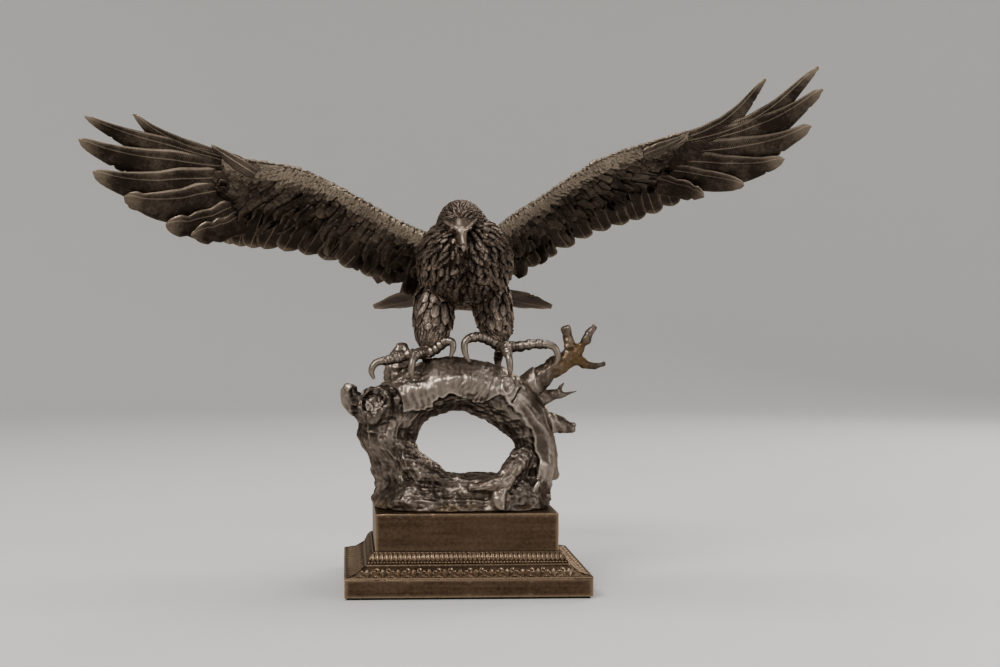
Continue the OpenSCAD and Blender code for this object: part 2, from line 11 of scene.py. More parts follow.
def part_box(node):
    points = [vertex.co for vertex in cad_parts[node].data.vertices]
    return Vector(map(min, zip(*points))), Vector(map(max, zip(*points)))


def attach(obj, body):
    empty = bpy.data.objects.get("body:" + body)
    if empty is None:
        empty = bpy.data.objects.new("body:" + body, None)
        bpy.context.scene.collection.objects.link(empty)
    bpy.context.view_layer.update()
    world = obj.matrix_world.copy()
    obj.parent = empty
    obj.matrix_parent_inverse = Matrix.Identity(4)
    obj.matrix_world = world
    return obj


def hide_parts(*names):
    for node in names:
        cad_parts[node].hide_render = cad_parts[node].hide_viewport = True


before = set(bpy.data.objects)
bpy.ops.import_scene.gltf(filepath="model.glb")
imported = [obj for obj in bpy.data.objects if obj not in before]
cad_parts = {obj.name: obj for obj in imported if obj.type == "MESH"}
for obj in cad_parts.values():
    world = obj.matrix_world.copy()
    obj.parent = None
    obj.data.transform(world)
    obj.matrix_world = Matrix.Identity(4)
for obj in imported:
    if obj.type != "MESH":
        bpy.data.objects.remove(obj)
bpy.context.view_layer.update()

MM, MICRON = 1e-3, 1e-6
SEED = 7
rng = np.random.default_rng(SEED)


# ------------------------------------------------------------------ numbers and noise

def unit(v):
    return v / np.maximum(np.linalg.norm(v, axis=-1, keepdims=True), 1e-12)


def dot(a, b):
    return (a * b).sum(-1)


def lerp(a, b, s):
    return a + (b - a) * s


def smoothstep(low, high, x):
    t = np.clip((x - low) / (high - low), 0, 1)
    return t * t * (3 - 2 * t)


def step_mm(low, high, x):
    """A smoothstep of metres whose limits are in mm."""
    return smoothstep(low * MM, high * MM, x)


def bell(x, width):
    return np.exp(-(x / width) ** 2)


def bell_mm(x, width):
    return bell(x, width * MM)


def travel(points):
    """Distance of each point of a line from its start, along the line."""
    return np.concatenate([[0], np.cumsum(np.linalg.norm(np.diff(points, axis=0), axis=1))])


def lattice(cell, seed):
    """A steady pseudo-random value from -1 to 1 for each whole-number cell, from a 32-bit
    hash with large odd multipliers."""
    h = (cell[..., 0] * 374761393 + cell[..., 1] * 668265263
         + cell[..., 2] * 1440662683 + seed * 144269504) & 0xFFFFFFFF
    h = ((h ^ (h >> 13)) * 1274126177) & 0xFFFFFFFF
    h = ((h ^ (h >> 16)) * 2246822519) & 0xFFFFFFFF
    return ((h ^ (h >> 15)) & 0xFFFF) / 32767.5 - 1


def value_noise(p, seed=0):
    """Smooth noise from -1 to 1, with features about one unit wide."""
    cell = np.floor(p).astype(np.int64)
    f = p - cell
    f = f * f * f * (f * (6 * f - 15) + 10)
    total = 0
    for corner in np.ndindex(2, 2, 2):
        weight = 1
        for k, far in enumerate(corner):
            weight = weight * (f[..., k] if far else 1 - f[..., k])
        total = total + weight * lattice(cell + np.array(corner), seed)
    return total


def noise(points, scale, seed=0):
    """Noise with features of scale mm; three numbers stretch it along each axis."""
    return value_noise(points / (np.asarray(scale) * MM), seed)


def octave(points, scale, seed, k, shift):
    scale = np.asarray(scale, float) * MM
    return value_noise((points + shift * scale * k) / (scale / 2 ** k), seed + k)


def fractal(points, scale, seed=0, octaves=4):
    """Noise of about -1 to 1 with finer and finer layers; scale is in mm."""
    return sum(octave(points, scale, seed, k, 0.37) / 2 ** k for k in range(octaves)) / 1.6


def ridged(points, scale, seed=0, octaves=3):
    """Noise from 0 to 1 with sharp crests, as in bark and split wood."""
    return sum((1 - np.abs(octave(points, scale, seed, k, 0.61))) ** 2 / 2 ** k
               for k in range(octaves)) / 1.75


# ------------------------------------------------------------------ geometry from the frame

def add_object(name, data):
    obj = bpy.data.objects.new(name, data)
    bpy.context.scene.collection.objects.link(obj)
    return obj


def coordinates(mesh, kind="co"):
    """The points of a mesh, or their normals, as rows of three."""
    values = np.empty(len(mesh.vertices) * 3)
    mesh.vertices.foreach_get(kind, values)
    return values.reshape(-1, 3)


def cad_mesh(node):
    """Corner points and triangles of a CAD node, with shared corners joined."""
    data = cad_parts[node].data
    data.calc_loop_triangles()
    tri = np.empty(len(data.loop_triangles) * 3, np.int64)
    data.loop_triangles.foreach_get("vertices", tri)
    keys, back = np.unique(np.round(coordinates(data) / MICRON).astype(np.int64),
                           axis=0, return_inverse=True)
    tri = back.ravel()[tri].reshape(-1, 3)
    tri = tri[(tri[:, 0] != tri[:, 1]) & (tri[:, 1] != tri[:, 2]) & (tri[:, 2] != tri[:, 0])]
    return keys * MICRON, tri


def solids_of(node):
    """The points of each separate solid in a CAD node."""
    points, tri = cad_mesh(node)
    label = np.arange(len(points))
    while True:
        low = label[tri].min(axis=1)
        new = label.copy()
        np.minimum.at(new, tri.ravel(), np.repeat(low, 3))
        if (new == label).all():
            break
        label = new
    fewest = 8  # a solid has more corners than this
    return [points[label == k] for k in np.unique(label) if (label == k).sum() > fewest]


def joined(*meshes):
    """Several (points, faces) meshes as one."""
    start = np.cumsum([0] + [len(p) for p, _ in meshes])
    return (np.concatenate([p for p, _ in meshes]),
            np.concatenate([f + s for (_, f), s in zip(meshes, start)]))


def remeshed(mesh, voxel, smooth=0):
    """A mesh of even quads through the union of closed solids: (points, quads)."""
    data = bpy.data.meshes.new("remesh")
    data.from_pydata(mesh[0].tolist(), [], mesh[1].tolist())
    obj = add_object("remesh", data)
    modifier = obj.modifiers.new("remesh", "REMESH")
    modifier.mode = "VOXEL"
    modifier.voxel_size = voxel
    modifier.adaptivity = 0
    result = obj.evaluated_get(bpy.context.evaluated_depsgraph_get()).to_mesh()
    points = coordinates(result)
    quads = np.empty(len(result.loops), np.int64)
    result.loops.foreach_get("vertex_index", quads)
    bpy.data.objects.remove(obj)
    bpy.data.meshes.remove(data)
    quads = quads.reshape(-1, 4)
    return relaxed(points, quads, smooth), quads


def halves(quads):
    """The two triangles of each quad."""
    return np.concatenate([quads[:, :3], quads[:, [0, 2, 3]]])


def relaxed(values, quads, rounds):
    """Values at each point drawn towards the mean of their neighbours."""
    a = quads.ravel()
    b = np.roll(quads, -1, axis=1).ravel()
    count = np.bincount(a, minlength=len(values)) + np.bincount(b, minlength=len(values))
    values = np.asarray(values, float)
    flat = values.reshape(len(values), -1)
    pull = 0.6  # share of the way to the neighbours' mean in one round
    for _ in range(rounds):
        total = [np.bincount(a, flat[b, k], len(flat)) + np.bincount(b, flat[a, k], len(flat))
                 for k in range(flat.shape[1])]
        flat = (1 - pull) * flat + pull * np.stack(total, 1) / count[:, None]
    return flat.reshape(values.shape)


def normals(points, quads):
    cross = np.cross(points[quads[:, 2]] - points[quads[:, 0]],
                     points[quads[:, 3]] - points[quads[:, 1]])
    total = [np.bincount(quads.ravel(), np.repeat(cross[:, k], 4), len(points))
             for k in range(3)]
    return unit(np.stack(total, 1))


def cavity(points, quads, rounds=6):
    """How far each point stands proud (+) of the surface round it, or lies sunk below it (-)."""
    return dot(points - relaxed(points, quads, rounds), normals(points, quads))


class Surface:
    """A closed mesh of quads that points are laid on."""

    def __init__(self, points, quads):
        self.tree = BVHTree.FromPolygons(points.tolist(), quads.tolist())
        self.points, self.quads = points, quads

    def nearest(self, points):
        spots, directions = np.empty(points.shape), np.empty(points.shape)
        for k, p in enumerate(points):
            spot, normal, _, _ = self.tree.find_nearest(Vector(p))
            spots[k], directions[k] = spot, normal
        return spots, directions

    def scatter(self, spacing, keep=None):
        """Points spread over the surface, at least spacing(p) apart, with their normals."""
        tries = 30
        tri = halves(self.quads)
        a, b, c = (self.points[tri[:, k]] for k in range(3))
        cross = np.cross(b - a, c - a)
        area = np.linalg.norm(cross, axis=1)
        centre = (a + b + c) / 3
        gap = spacing(centre)
        weight = area / gap ** 2
        if keep is not None:
            weight = weight * keep(centre)
        count = int(weight.sum() / 2 * tries)
        pick = rng.choice(len(tri), count, p=weight / weight.sum())
        r = np.sqrt(rng.random(count))[:, None]
        q = rng.random(count)[:, None]
        spots = a[pick] * (1 - r) + b[pick] * r * (1 - q) + c[pick] * r * q
        gap = spacing(spots)
        cell = gap.max()
        grid, chosen = {}, []
        for k, p in enumerate(spots):
            key = tuple(np.floor(p / cell).astype(int))
            near = [m for step in np.ndindex(3, 3, 3)
                    for m in grid.get(tuple(a + b - 1 for a, b in zip(key, step)), ())]
            if near and (((spots[near] - p) ** 2).sum(1) < gap[k] ** 2).any():
                continue
            grid.setdefault(key, []).append(k)
            chosen.append(k)
        return spots[chosen], unit(cross[pick[chosen]])


# ------------------------------------------------------------------ mesh building

CHANNELS = ("rub", "deep", "tone", "across", "along")
BARB_PITCH, BODY_BARB_PITCH = 1.9 * MM, 1.5 * MM


class Soup:
    """Points, faces and values of one piece, gathered part by part. The values are the rubbed
    brightness (wear, with painted highlights), the darkness (patina, with painted shade in
    recesses and under overlaps), tone (golden), and a feather's own coordinates."""

    def __init__(self):
        self.points, self.quads, self.tris = [], [], []
        self.values = {name: [] for name in CHANNELS}
        self.count = 0

    def add(self, points, quads=None, tris=None, **values):
        self.points.append(points)
        if quads is not None:
            self.quads.append(quads + self.count)
        if tris is not None:
            self.tris.append(tris + self.count)
        for name in CHANNELS:
            self.values[name].append(np.broadcast_to(values.get(name, 0.0), len(points)))
        self.count += len(points)
        return self

    def tubes(self, rings, **values):
        """Closed tubes from (tube, ring, side, 3) points, with an end point at both ends."""
        count, rows, sides = rings.shape[:3]
        ends = np.stack([rings[:, 0].mean(1), rings[:, -1].mean(1)], 1)
        points = np.concatenate([rings.reshape(count, -1, 3), ends], 1).reshape(-1, 3)
        flat = {}
        for name, value in values.items():
            value = np.broadcast_to(value, rings.shape[:3])
            tips = np.stack([value[:, 0].mean(1), value[:, -1].mean(1)], 1)
            flat[name] = np.concatenate([value.reshape(count, -1), tips], 1).ravel()
        i, j = np.meshgrid(np.arange(rows - 1), np.arange(sides), indexing="ij")
        a = (i * sides + j).ravel()
        b = (i * sides + (j + 1) % sides).ravel()
        quads = np.stack([a, b, b + sides, a + sides], 1)
        j = np.arange(sides)
        k = (j + 1) % sides
        first = np.stack([np.full(sides, rows * sides), k, j], 1)
        end = (rows - 1) * sides
        last = np.stack([np.full(sides, rows * sides + 1), end + j, end + k], 1)
        tris = np.concatenate([first, last])
        corners = np.concatenate([halves(quads), tris])
        a, b, c = (points[corners[:, k]] for k in range(3))
        if dot(a, np.cross(b, c)).sum() < 0:
            quads, tris = quads[:, ::-1], tris[:, ::-1]
        step = (np.arange(count) * (rows * sides + 2))[:, None, None]
        return self.add(points, (quads + step).reshape(-1, 4), (tris + step).reshape(-1, 3),
                        **flat)

    def build(self, name):
        points = np.concatenate(self.points)
        quads = np.concatenate(self.quads or [np.empty((0, 4), int)])
        tris = np.concatenate(self.tris or [np.empty((0, 3), int)])
        mesh = bpy.data.meshes.new(name)
        mesh.vertices.add(len(points))
        mesh.vertices.foreach_set("co", points.ravel())
        corners = np.concatenate([quads.ravel(), tris.ravel()])
        mesh.loops.add(len(corners))
        mesh.loops.foreach_set("vertex_index", corners)
        starts = np.concatenate([np.arange(len(quads)) * 4,
                                 len(quads) * 4 + np.arange(len(tris)) * 3])
        mesh.polygons.add(len(starts))
        mesh.polygons.foreach_set("loop_start", starts)
        mesh.update(calc_edges=True)
        finish_mesh(mesh, {name: np.concatenate(v) for name, v in self.values.items()})
        return add_object(name, mesh)

    def cast(self, node, slot):
        return piece(self.build(node + "_cast"), node, slot)


def finish_mesh(mesh, values):
    """Smooth shading, and the values at its points that the material reads."""
    mesh.polygons.foreach_set("use_smooth", np.ones(len(mesh.polygons), bool))
    for name, value in values.items():
        layer = mesh.attributes.new(name, "FLOAT", "POINT")
        layer.data.foreach_set("value", value.astype(np.float32))


def curve(rows, s):
    """Points at shares s of a smooth line through rows; past its ends it runs straight."""
    rows = np.asarray(rows, float)
    last = len(rows) - 1
    inside = np.clip(s, 0, 1)
    k = np.minimum((inside * last).astype(int), last - 1)
    t = (inside * last - k)[..., None]
    a, b, c, d = (rows[np.clip(k + j, 0, last)] for j in (-1, 0, 1, 2))
    line = 0.5 * (2 * b + (c - a) * t + (2 * a - 5 * b + 4 * c - d) * t ** 2
                  + (3 * b - a - 3 * c + d) * t ** 3)
    beyond = ((s - inside) * last)[..., None]
    return line + np.where(beyond > 0, rows[-1] - rows[-2], rows[1] - rows[0]) * beyond


def limb_rings(rows, count, sides, ref=(0, 0, 1)):
    """Rings round a smooth line. Each row is x, y, z, half width across ref and half
    height along it, in mm."""
    line = curve(rows, np.linspace(0, 1, count)) * MM
    forward = unit(np.gradient(line[:, :3], axis=0))
    across = unit(np.cross(np.array(ref, float), forward))
    up = np.cross(forward, across)
    q = 2 * np.pi * np.arange(sides) / sides
    return (line[:, None, :3] + across[:, None] * (line[:, 3:4] * np.cos(q))[..., None]
            + up[:, None] * (line[:, 4:5] * np.sin(q))[..., None])


def limb_mesh(rows, count=24, sides=20, ref=(0, 0, 1)):
    """The closed (points, triangles) mesh of a limb."""
    soup = Soup().tubes(limb_rings(rows, count, sides, ref)[None])
    return soup.points[0], np.concatenate([halves(soup.quads[0]), soup.tris[0]])


def coat(obj, material):
    obj.data.materials.clear()
    obj.data.materials.append(material)


def piece(obj, node, slot):
    """Makes obj the finished piece that stands for a CAD node."""
    coat(obj, FINISHES[slot])
    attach(obj, "root")
    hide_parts(node)
    return obj


# ------------------------------------------------------------------ materials

def set_inputs(node, **values):
    """Sets a node's inputs; an underscore in a name stands for a space."""
    for name, value in values.items():
        node.inputs[name.replace("_", " ")].default_value = value


def new_material(name, **values):
    material = bpy.data.materials.new(name)
    material.use_nodes = True
    bsdf = material.node_tree.nodes["Principled BSDF"]
    set_inputs(bsdf, **values)
    return material, bsdf, material.node_tree.nodes, material.node_tree.links.new


def bronze(name, dark, mid, bright, rough, barbs=0.0, bump=0.25, cloud=1.0):
    """Patinated bronze. The mesh values of rubbed brightness (wear, with painted highlights), of
    darkness (patina, with painted shade in recesses) and tone (golden) mix its colours; barbs is
    the pitch of fine lines that follow a feather, and cloud is how strongly the patina varies."""
    material, bsdf, nodes, link = new_material(name, Metallic=0.85, Coat_Weight=0.08,
                                               Specular_Tint=(0.5, 0.42, 0.36, 1),
                                               Coat_Roughness=0.28)

    def value(attribute):
        node = nodes.new("ShaderNodeAttribute")
        node.attribute_name = attribute
        return node.outputs["Fac"]

    def feed(given, socket):
        if isinstance(given, (int, float, tuple)):
            socket.default_value = given
        else:
            link(given, socket)

    def calc(operation, *inputs):
        node = nodes.new("ShaderNodeMath")
        node.operation = operation
        for socket, given in zip(node.inputs, inputs):
            feed(given, socket)
        return node.outputs[0]

    def speckle(scale, detail, roughness=0.6):
        node = nodes.new("ShaderNodeTexNoise")
        set_inputs(node, Scale=scale, Detail=detail, Roughness=roughness)
        link(coords, node.inputs["Vector"])
        return node.outputs["Fac"]

    def span(given, low, high):
        node = nodes.new("ShaderNodeMapRange")
        link(given, node.inputs["Value"])
        set_inputs(node, From_Min=low, From_Max=high)
        return node.outputs[0]

    def mix(factor, a, b):
        node = nodes.new("ShaderNodeMix")
        node.data_type = "RGBA"
        link(factor, node.inputs["Factor"])
        colour_a, colour_b = 6, 7
        feed(a, node.inputs[colour_a])
        feed(b, node.inputs[colour_b])
        return node.outputs[2]

    def rgba(colour, *gains):
        return (*(gain * c for gain, c in zip(gains or (1, 1, 1), colour)), 1)

    coords = nodes.new("ShaderNodeTexCoord").outputs["Object"]
    blotch = speckle(scale=45, detail=5)
    fine = speckle(scale=420, detail=3)
    pits = speckle(scale=1400, detail=2, roughness=0.7)
    # Brightness of wear and of painted highlight, with the patina's blotches
    worn_and_lit = calc("ADD", value("rub"), calc("MULTIPLY_ADD", blotch, 0.8 * cloud, -0.4 * cloud))
    worn_and_lit = calc("MULTIPLY_ADD", calc("SUBTRACT", fine, 0.5), 0.3 + 0.3 * cloud, worn_and_lit)
    worn_and_lit = span(worn_and_lit, 0.0, 1.0)
    dim, light, golden = [1 - 0.25 * cloud] * 3, [1 + 0.2 * cloud] * 3, (1.7, 1.35, 0.75)
    base = mix(span(blotch, 0.35, 0.65), rgba(mid, *dim), rgba(mid, *light))
    gold = mix(value("tone"), base, rgba(mid, *golden))
    lit = mix(worn_and_lit, gold, rgba(bright))
    # Darkness of patina and of painted shade
    sunk = calc("MULTIPLY_ADD", calc("SUBTRACT", fine, 0.5), 0.5, value("deep"))
    link(mix(span(sunk, 0.0, 1.0), lit, rgba(dark)), bsdf.inputs["Base Color"])
    roughness = calc("MULTIPLY_ADD", worn_and_lit, rough[1] - rough[0], rough[0])
    roughness = calc("MULTIPLY_ADD", calc("SUBTRACT", fine, 0.5), 0.2, roughness)
    link(roughness, bsdf.inputs["Roughness"])
    height = calc("MULTIPLY_ADD", fine, 0.8, calc("MULTIPLY", pits, 0.3))
    if barbs:
        run = calc("SUBTRACT", value("along"), calc("ABSOLUTE", value("across")))
        wave = calc("SINE", calc("MULTIPLY", run, 2 * math.pi / barbs))
        height = calc("MULTIPLY_ADD", wave, 0.6, height)
    node = nodes.new("ShaderNodeBump")
    set_inputs(node, Strength=bump, Distance=RELIEF_DEPTH)
    link(height, node.inputs["Height"])
    link(node.outputs[0], bsdf.inputs["Normal"])
    return material


def plain(name, colour, metallic, rough, grain):
    """A plain finish for pieces hidden inside, with fine grain in colour and relief."""
    material, bsdf, nodes, link = new_material(name, Metallic=metallic, Roughness=rough)
    texture = nodes.new("ShaderNodeTexNoise")
    set_inputs(texture, Scale=1 / grain)
    link(nodes.new("ShaderNodeTexCoord").outputs["Object"], texture.inputs["Vector"])
    ramp = nodes.new("ShaderNodeValToRGB")
    for element, gain in zip(ramp.color_ramp.elements, (0.7, 1.2)):
        element.color = (*[gain * c for c in colour], 1)
    link(texture.outputs["Fac"], ramp.inputs["Fac"])
    link(ramp.outputs["Color"], bsdf.inputs["Base Color"])
    bump = nodes.new("ShaderNodeBump")
    set_inputs(bump, Strength=0.3, Distance=grain)
    link(texture.outputs["Fac"], bump.inputs["Height"])
    link(bump.outputs[0], bsdf.inputs["Normal"])
    return material


RELIEF_DEPTH = 0.0006  # metres, of the fine cast grain

# Each record slot's finish: dark colour (patina and painted shade), middle colour, bright colour
# (wear and painted highlight), then roughness dull and rubbed bright
FINISHES = {
    "plinth_bronze": bronze("plinth_bronze", (0.012, 0.006, 0.004), (0.024, 0.0118, 0.0055),
                            (0.34, 0.24, 0.155), rough=(0.38, 0.26), bump=0.10, cloud=0.2),
    "log_bronze": bronze("log_bronze", (0.014, 0.009, 0.007), (0.072, 0.054, 0.041),
                         (0.36, 0.30, 0.25), rough=(0.46, 0.30)),
    "eagle_bronze": bronze("eagle_bronze", (0.007, 0.004, 0.003), (0.031, 0.020, 0.014),
                           (0.32, 0.25, 0.20), rough=(0.48, 0.32), barbs=BODY_BARB_PITCH),
    "feather_bronze": bronze("feather_bronze", (0.006, 0.004, 0.003), (0.020, 0.0125, 0.008),
                             (0.30, 0.24, 0.18), rough=(0.54, 0.32), barbs=BARB_PITCH),
    "talon_bronze": bronze("talon_bronze", (0.010, 0.007, 0.005), (0.046, 0.033, 0.025),
                           (0.40, 0.33, 0.27), rough=(0.44, 0.26)),
}
STEEL = plain("plated_steel", (0.55, 0.55, 0.57), metallic=1.0, rough=0.35, grain=0.0008)
FELT = plain("green_felt", (0.008, 0.020, 0.012), metallic=0.0, rough=0.95, grain=0.0006)


# ------------------------------------------------------------------ feathers

SHAFT_COLUMNS = np.array([-0.09, -0.045, 0, 0.045, 0.09])


def blade_loop(cols, shaft=None):
    """Across coordinate and face (+1 back, -1 front) of the points round a blade, which
    lie closer together at its shaft."""
    a = np.linspace(-1, 1, cols)
    if shaft is not None:
        a = np.unique(np.concatenate([a, shaft + SHAFT_COLUMNS]))
    across = np.concatenate([a, a[-2:0:-1]])
    side = np.concatenate([[0], np.ones(len(a) - 2), [0], -np.ones(len(a) - 2)])
    return across, side


def sheet_through(blades):
    """A smooth surface through blades, as a function: how far points lie behind it."""
    def terms(p):
        x, z = p[..., 0], p[..., 2]
        return np.stack([1 + 0 * x, x, z, x * x, x * z, z * z], -1)

    points = np.concatenate(blades)
    fit = np.linalg.lstsq(terms(points), points[:, 1], rcond=None)[0]
    return lambda p: p[..., 1] - terms(p) @ fit


def spine(points, root_near):
    """Centre line, back normal and half width of a CAD blade, as functions of 0 to 1."""
    upright, stations = np.array([0, 0.6, 1]), 13
    centre = points.mean(0)
    axes = np.linalg.svd(points - centre, full_matrices=False)[2]
    if dot(axes[2], upright) < 0:
        axes[2] *= -1
    p = (points - centre) @ axes.T
    ends = centre + np.outer([p[:, 0].min(), p[:, 0].max()], axes[0])
    gap = np.linalg.norm(ends - root_near, axis=1)
    if gap[0] > gap[1]:
        axes[0] *= -1
    axes[1] = np.cross(axes[2], axes[0])
    p = (points - centre) @ axes.T
    low, high = p[:, 0].min(), p[:, 0].max()
    t = (p[:, 0] - low) / (high - low)
    side = np.polyfit(t, p[:, 1], 4)
    rise = np.polyfit(t, p[:, 2], 3)
    reach = np.abs(p[:, 1] - np.polyval(side, t))
    rings = np.array_split(np.argsort(t), stations)
    marks = np.array([t[ring].mean() for ring in rings])
    width = np.array([reach[ring].max() for ring in rings])

    def line(x):
        flat = np.stack([low + (high - low) * x, np.polyval(side, x), np.polyval(rise, x)], -1)
        return centre + flat @ axes

    return line, axes[2], lambda x: np.interp(x, marks, width), high - low


def flight_feather(soup, points, root_near, shaft=0.0, rows=150, cols=13, thick=1.5 * MM,
                   lead=1, nicks=2, pale=0.0, inner=0.2, blunt=0.0, tip_half=1.8 * MM,
                   sheet=None, keep=(0.25, 1), roll=0.0):
    """A long feather in the place of a CAD blade: its rows run along the barbs, which
    slant from the raised shaft to both edges, and lead (+1 or -1) is the side of its
    leading edge. inner widens its root half, and blunt keeps it broad up to a round tip.
    keep is the share of its distance from the sheet that it keeps at its root and at its
    tip, and roll turns it about its own length."""
    line, back, width, length = spine(points, root_near)
    centre_a = shaft * lead
    across, side = blade_loop(cols, centre_a)
    u = np.linspace(0, 1, rows)[:, None]
    a = across[None, :] * np.ones_like(u)
    fade = smoothstep(0, 0.1, u) * smoothstep(1, 0.86, u)
    skew = np.abs(a - centre_a) * width(u) / length * fade
    x = np.clip(u + skew, 0, 1)
    peak = width(np.linspace(0, 1, 20)).max()
    half = width(x) * (1 + inner * smoothstep(0.9, 0.45, x))
    half = np.maximum(half, peak * blunt * smoothstep(0.05, 0.35, x))
    half = np.maximum(half, tip_half)
    tip_round = 1.2
    past = np.clip(x - 1 + tip_round * half / length, 0, 1) * length / half / tip_round
    half = half * np.sqrt(np.clip(1 - past ** 2, 0.01, 1))
    half = half * (1 + 0.02 * value_noise(np.stack([x * 9, a * 0, a * 0], -1), rows))
    for _ in range(nicks):
        spot = rng.uniform(0.45, 0.9)
        nick = bell(u - spot, 1.3 / rows) * rng.uniform(0.1, 0.25)
        half = half * (1 - nick * smoothstep(0.4, 1, -a * lead))
    centre = line(x)
    step = 0.004  # share of the length over which its direction is measured
    forward = unit(line(x + step) - line(x - step))
    lateral = unit(np.cross(back, forward))
    up = np.cross(forward, lateral)
    from_shaft = (a - centre_a) * half
    body = thick * (1 - 0.5 * x) * np.sqrt(np.clip(1 - np.abs(a) ** 3, 0, 1))
    ridge = bell_mm(from_shaft, 0.45) * lerp(0.7, 0.3, x) * MM
    comb = np.sin(u * length * 2 * np.pi / BARB_PITCH)
    comb = comb * (0.8 + 0.5 * value_noise(np.stack([u * 40 + 0 * a, a * 2, a * 0], -1), 5))
    grooves = (comb * 0.12 * MM * smoothstep(1.0, 0.85, np.abs(a))
               * (1 - bell_mm(from_shaft, 1.0)))
    wave = 0.25 * MM * value_noise(np.stack([x * 6, a * 1.5, a * 0 + length * 90], -1), 11)
    height = side * (0.5 * body + 0.15 * MM + ridge) + (side != 0) * grooves + wave
    height = height + roll * a * half
    flat = centre + lateral * (a * half)[..., None]
    if sheet is not None:
        hold = lerp(*keep, smoothstep(0.55, 0.95, x))
        flat[..., 1] -= (1 - hold) * sheet(flat)
    rings = flat + up * height[..., None]
    edge = smoothstep(0.86, 1.0, np.abs(a))
    top_edge_highlight = smoothstep(0.7, 1.0, a * lead)
    shine = bell_mm(from_shaft, 0.4)
    tip = smoothstep(0.82, 1.0, x)
    # Rubbed bright at the edges, shaft and tip, with a painted highlight along the top (leading)
    # edge, where light from above falls
    rub = (0.05 + 0.2 * edge + 0.35 * top_edge_highlight + 0.6 * shine * lerp(1, 0.7, x) + 0.45 * tip
           + 0.1 * comb)
    # The vane darker, with painted shade towards the root
    deep = (0.2 * (1 - tip) * (1 - edge) * (1 - shine) - 0.08 * comb
            + 0.15 * smoothstep(0.35, 0, x))
    along = (x - skew) * length + np.abs(from_shaft)
    soup.tubes(rings[None], rub=rub[None] + pale, deep=deep[None],
               tone=(0.35 * tip + 0 * a)[None], across=from_shaft[None], along=along[None])


def small_feathers(soup, centre, up, length, half, cols=5, lift=0.8 * MM, sink=0.5 * MM,
                   thick=0.9 * MM, point=0.6, rub=0.25, deep=0.5, tone=0.0, gain=1.0):
    """Many short closed feathers along (feather, row, 3) lines, each with a raised shaft and
    barbs; point is how pointed they are, from 0 to 1, and gain how strongly their shafts and tips
    shine and how strongly their undersides carry painted shade."""
    count, rows = centre.shape[:2]
    length, half, lift = (np.broadcast_to(v, count)[:, None] for v in (length, half, lift))
    u = np.linspace(0, 1, rows)
    centre = centre + up * (-sink + (lift + sink) * np.sqrt(u))[..., None]
    forward = unit(np.gradient(centre, axis=1))
    lateral = unit(np.cross(up, forward))
    up = np.cross(forward, lateral)
    across, side = blade_loop(cols)
    a = across[None, None, :]
    s = u[None, :, None]
    shape = np.sin(np.pi * np.clip(0.16 + 0.84 * s ** lerp(1.15, 0.72, point), 0, 1))
    shape = np.clip(shape, 0, 1) ** lerp(0.42, 0.85, point)
    shape = np.maximum(shape, 0.07)
    w = half[:, :, None] * shape
    slant = 0.7 * np.abs(a) * w * smoothstep(1.0, 0.6, s) * smoothstep(0.0, 0.2, s)
    comb = np.where(np.arange(rows) % 2, 1.0, -1.0)[None, :, None]
    shaft = bell(a, 0.22)
    top = (side > 0)[None, None, :]
    height = thick * (0.55 * np.sqrt(np.clip(1 - a * a, 0, 1)) + 0.45 * shaft * (1 - 0.6 * s))
    height = height * (0.75 + 0.12 * comb * (1 - shaft))
    height = np.where(top, height, side[None, None, :] * thick * 0.5)
    rings = (centre[:, :, None] + lateral[:, :, None] * (a * w)[..., None]
             + forward[:, :, None] * slant[..., None] + up[:, :, None] * height[..., None])
    tip = smoothstep(0.55, 1.0, s)
    glow = rub + gain * (0.35 * tip + 0.3 * shaft * top + 0.2 * np.abs(a) ** 3 + 0.1 * comb)
    glow = glow + 0.12 * gain * rng.standard_normal((count, 1, 1))
    # Painted shade at the root, where the feather before it overlaps, and on the underside
    dark = deep * (smoothstep(0.5, 0.0, s) + 0.25 * (1 - shaft) * (1 - tip)) + 0.5 * gain * ~top
    soup.tubes(rings, rub=glow, deep=dark, tone=tone, across=a * w,
               along=s * length[:, :, None] + slant)


# ------------------------------------------------------------------ plinth

def corner_of(node):
    low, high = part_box(node)
    return np.array(low), np.array(high)


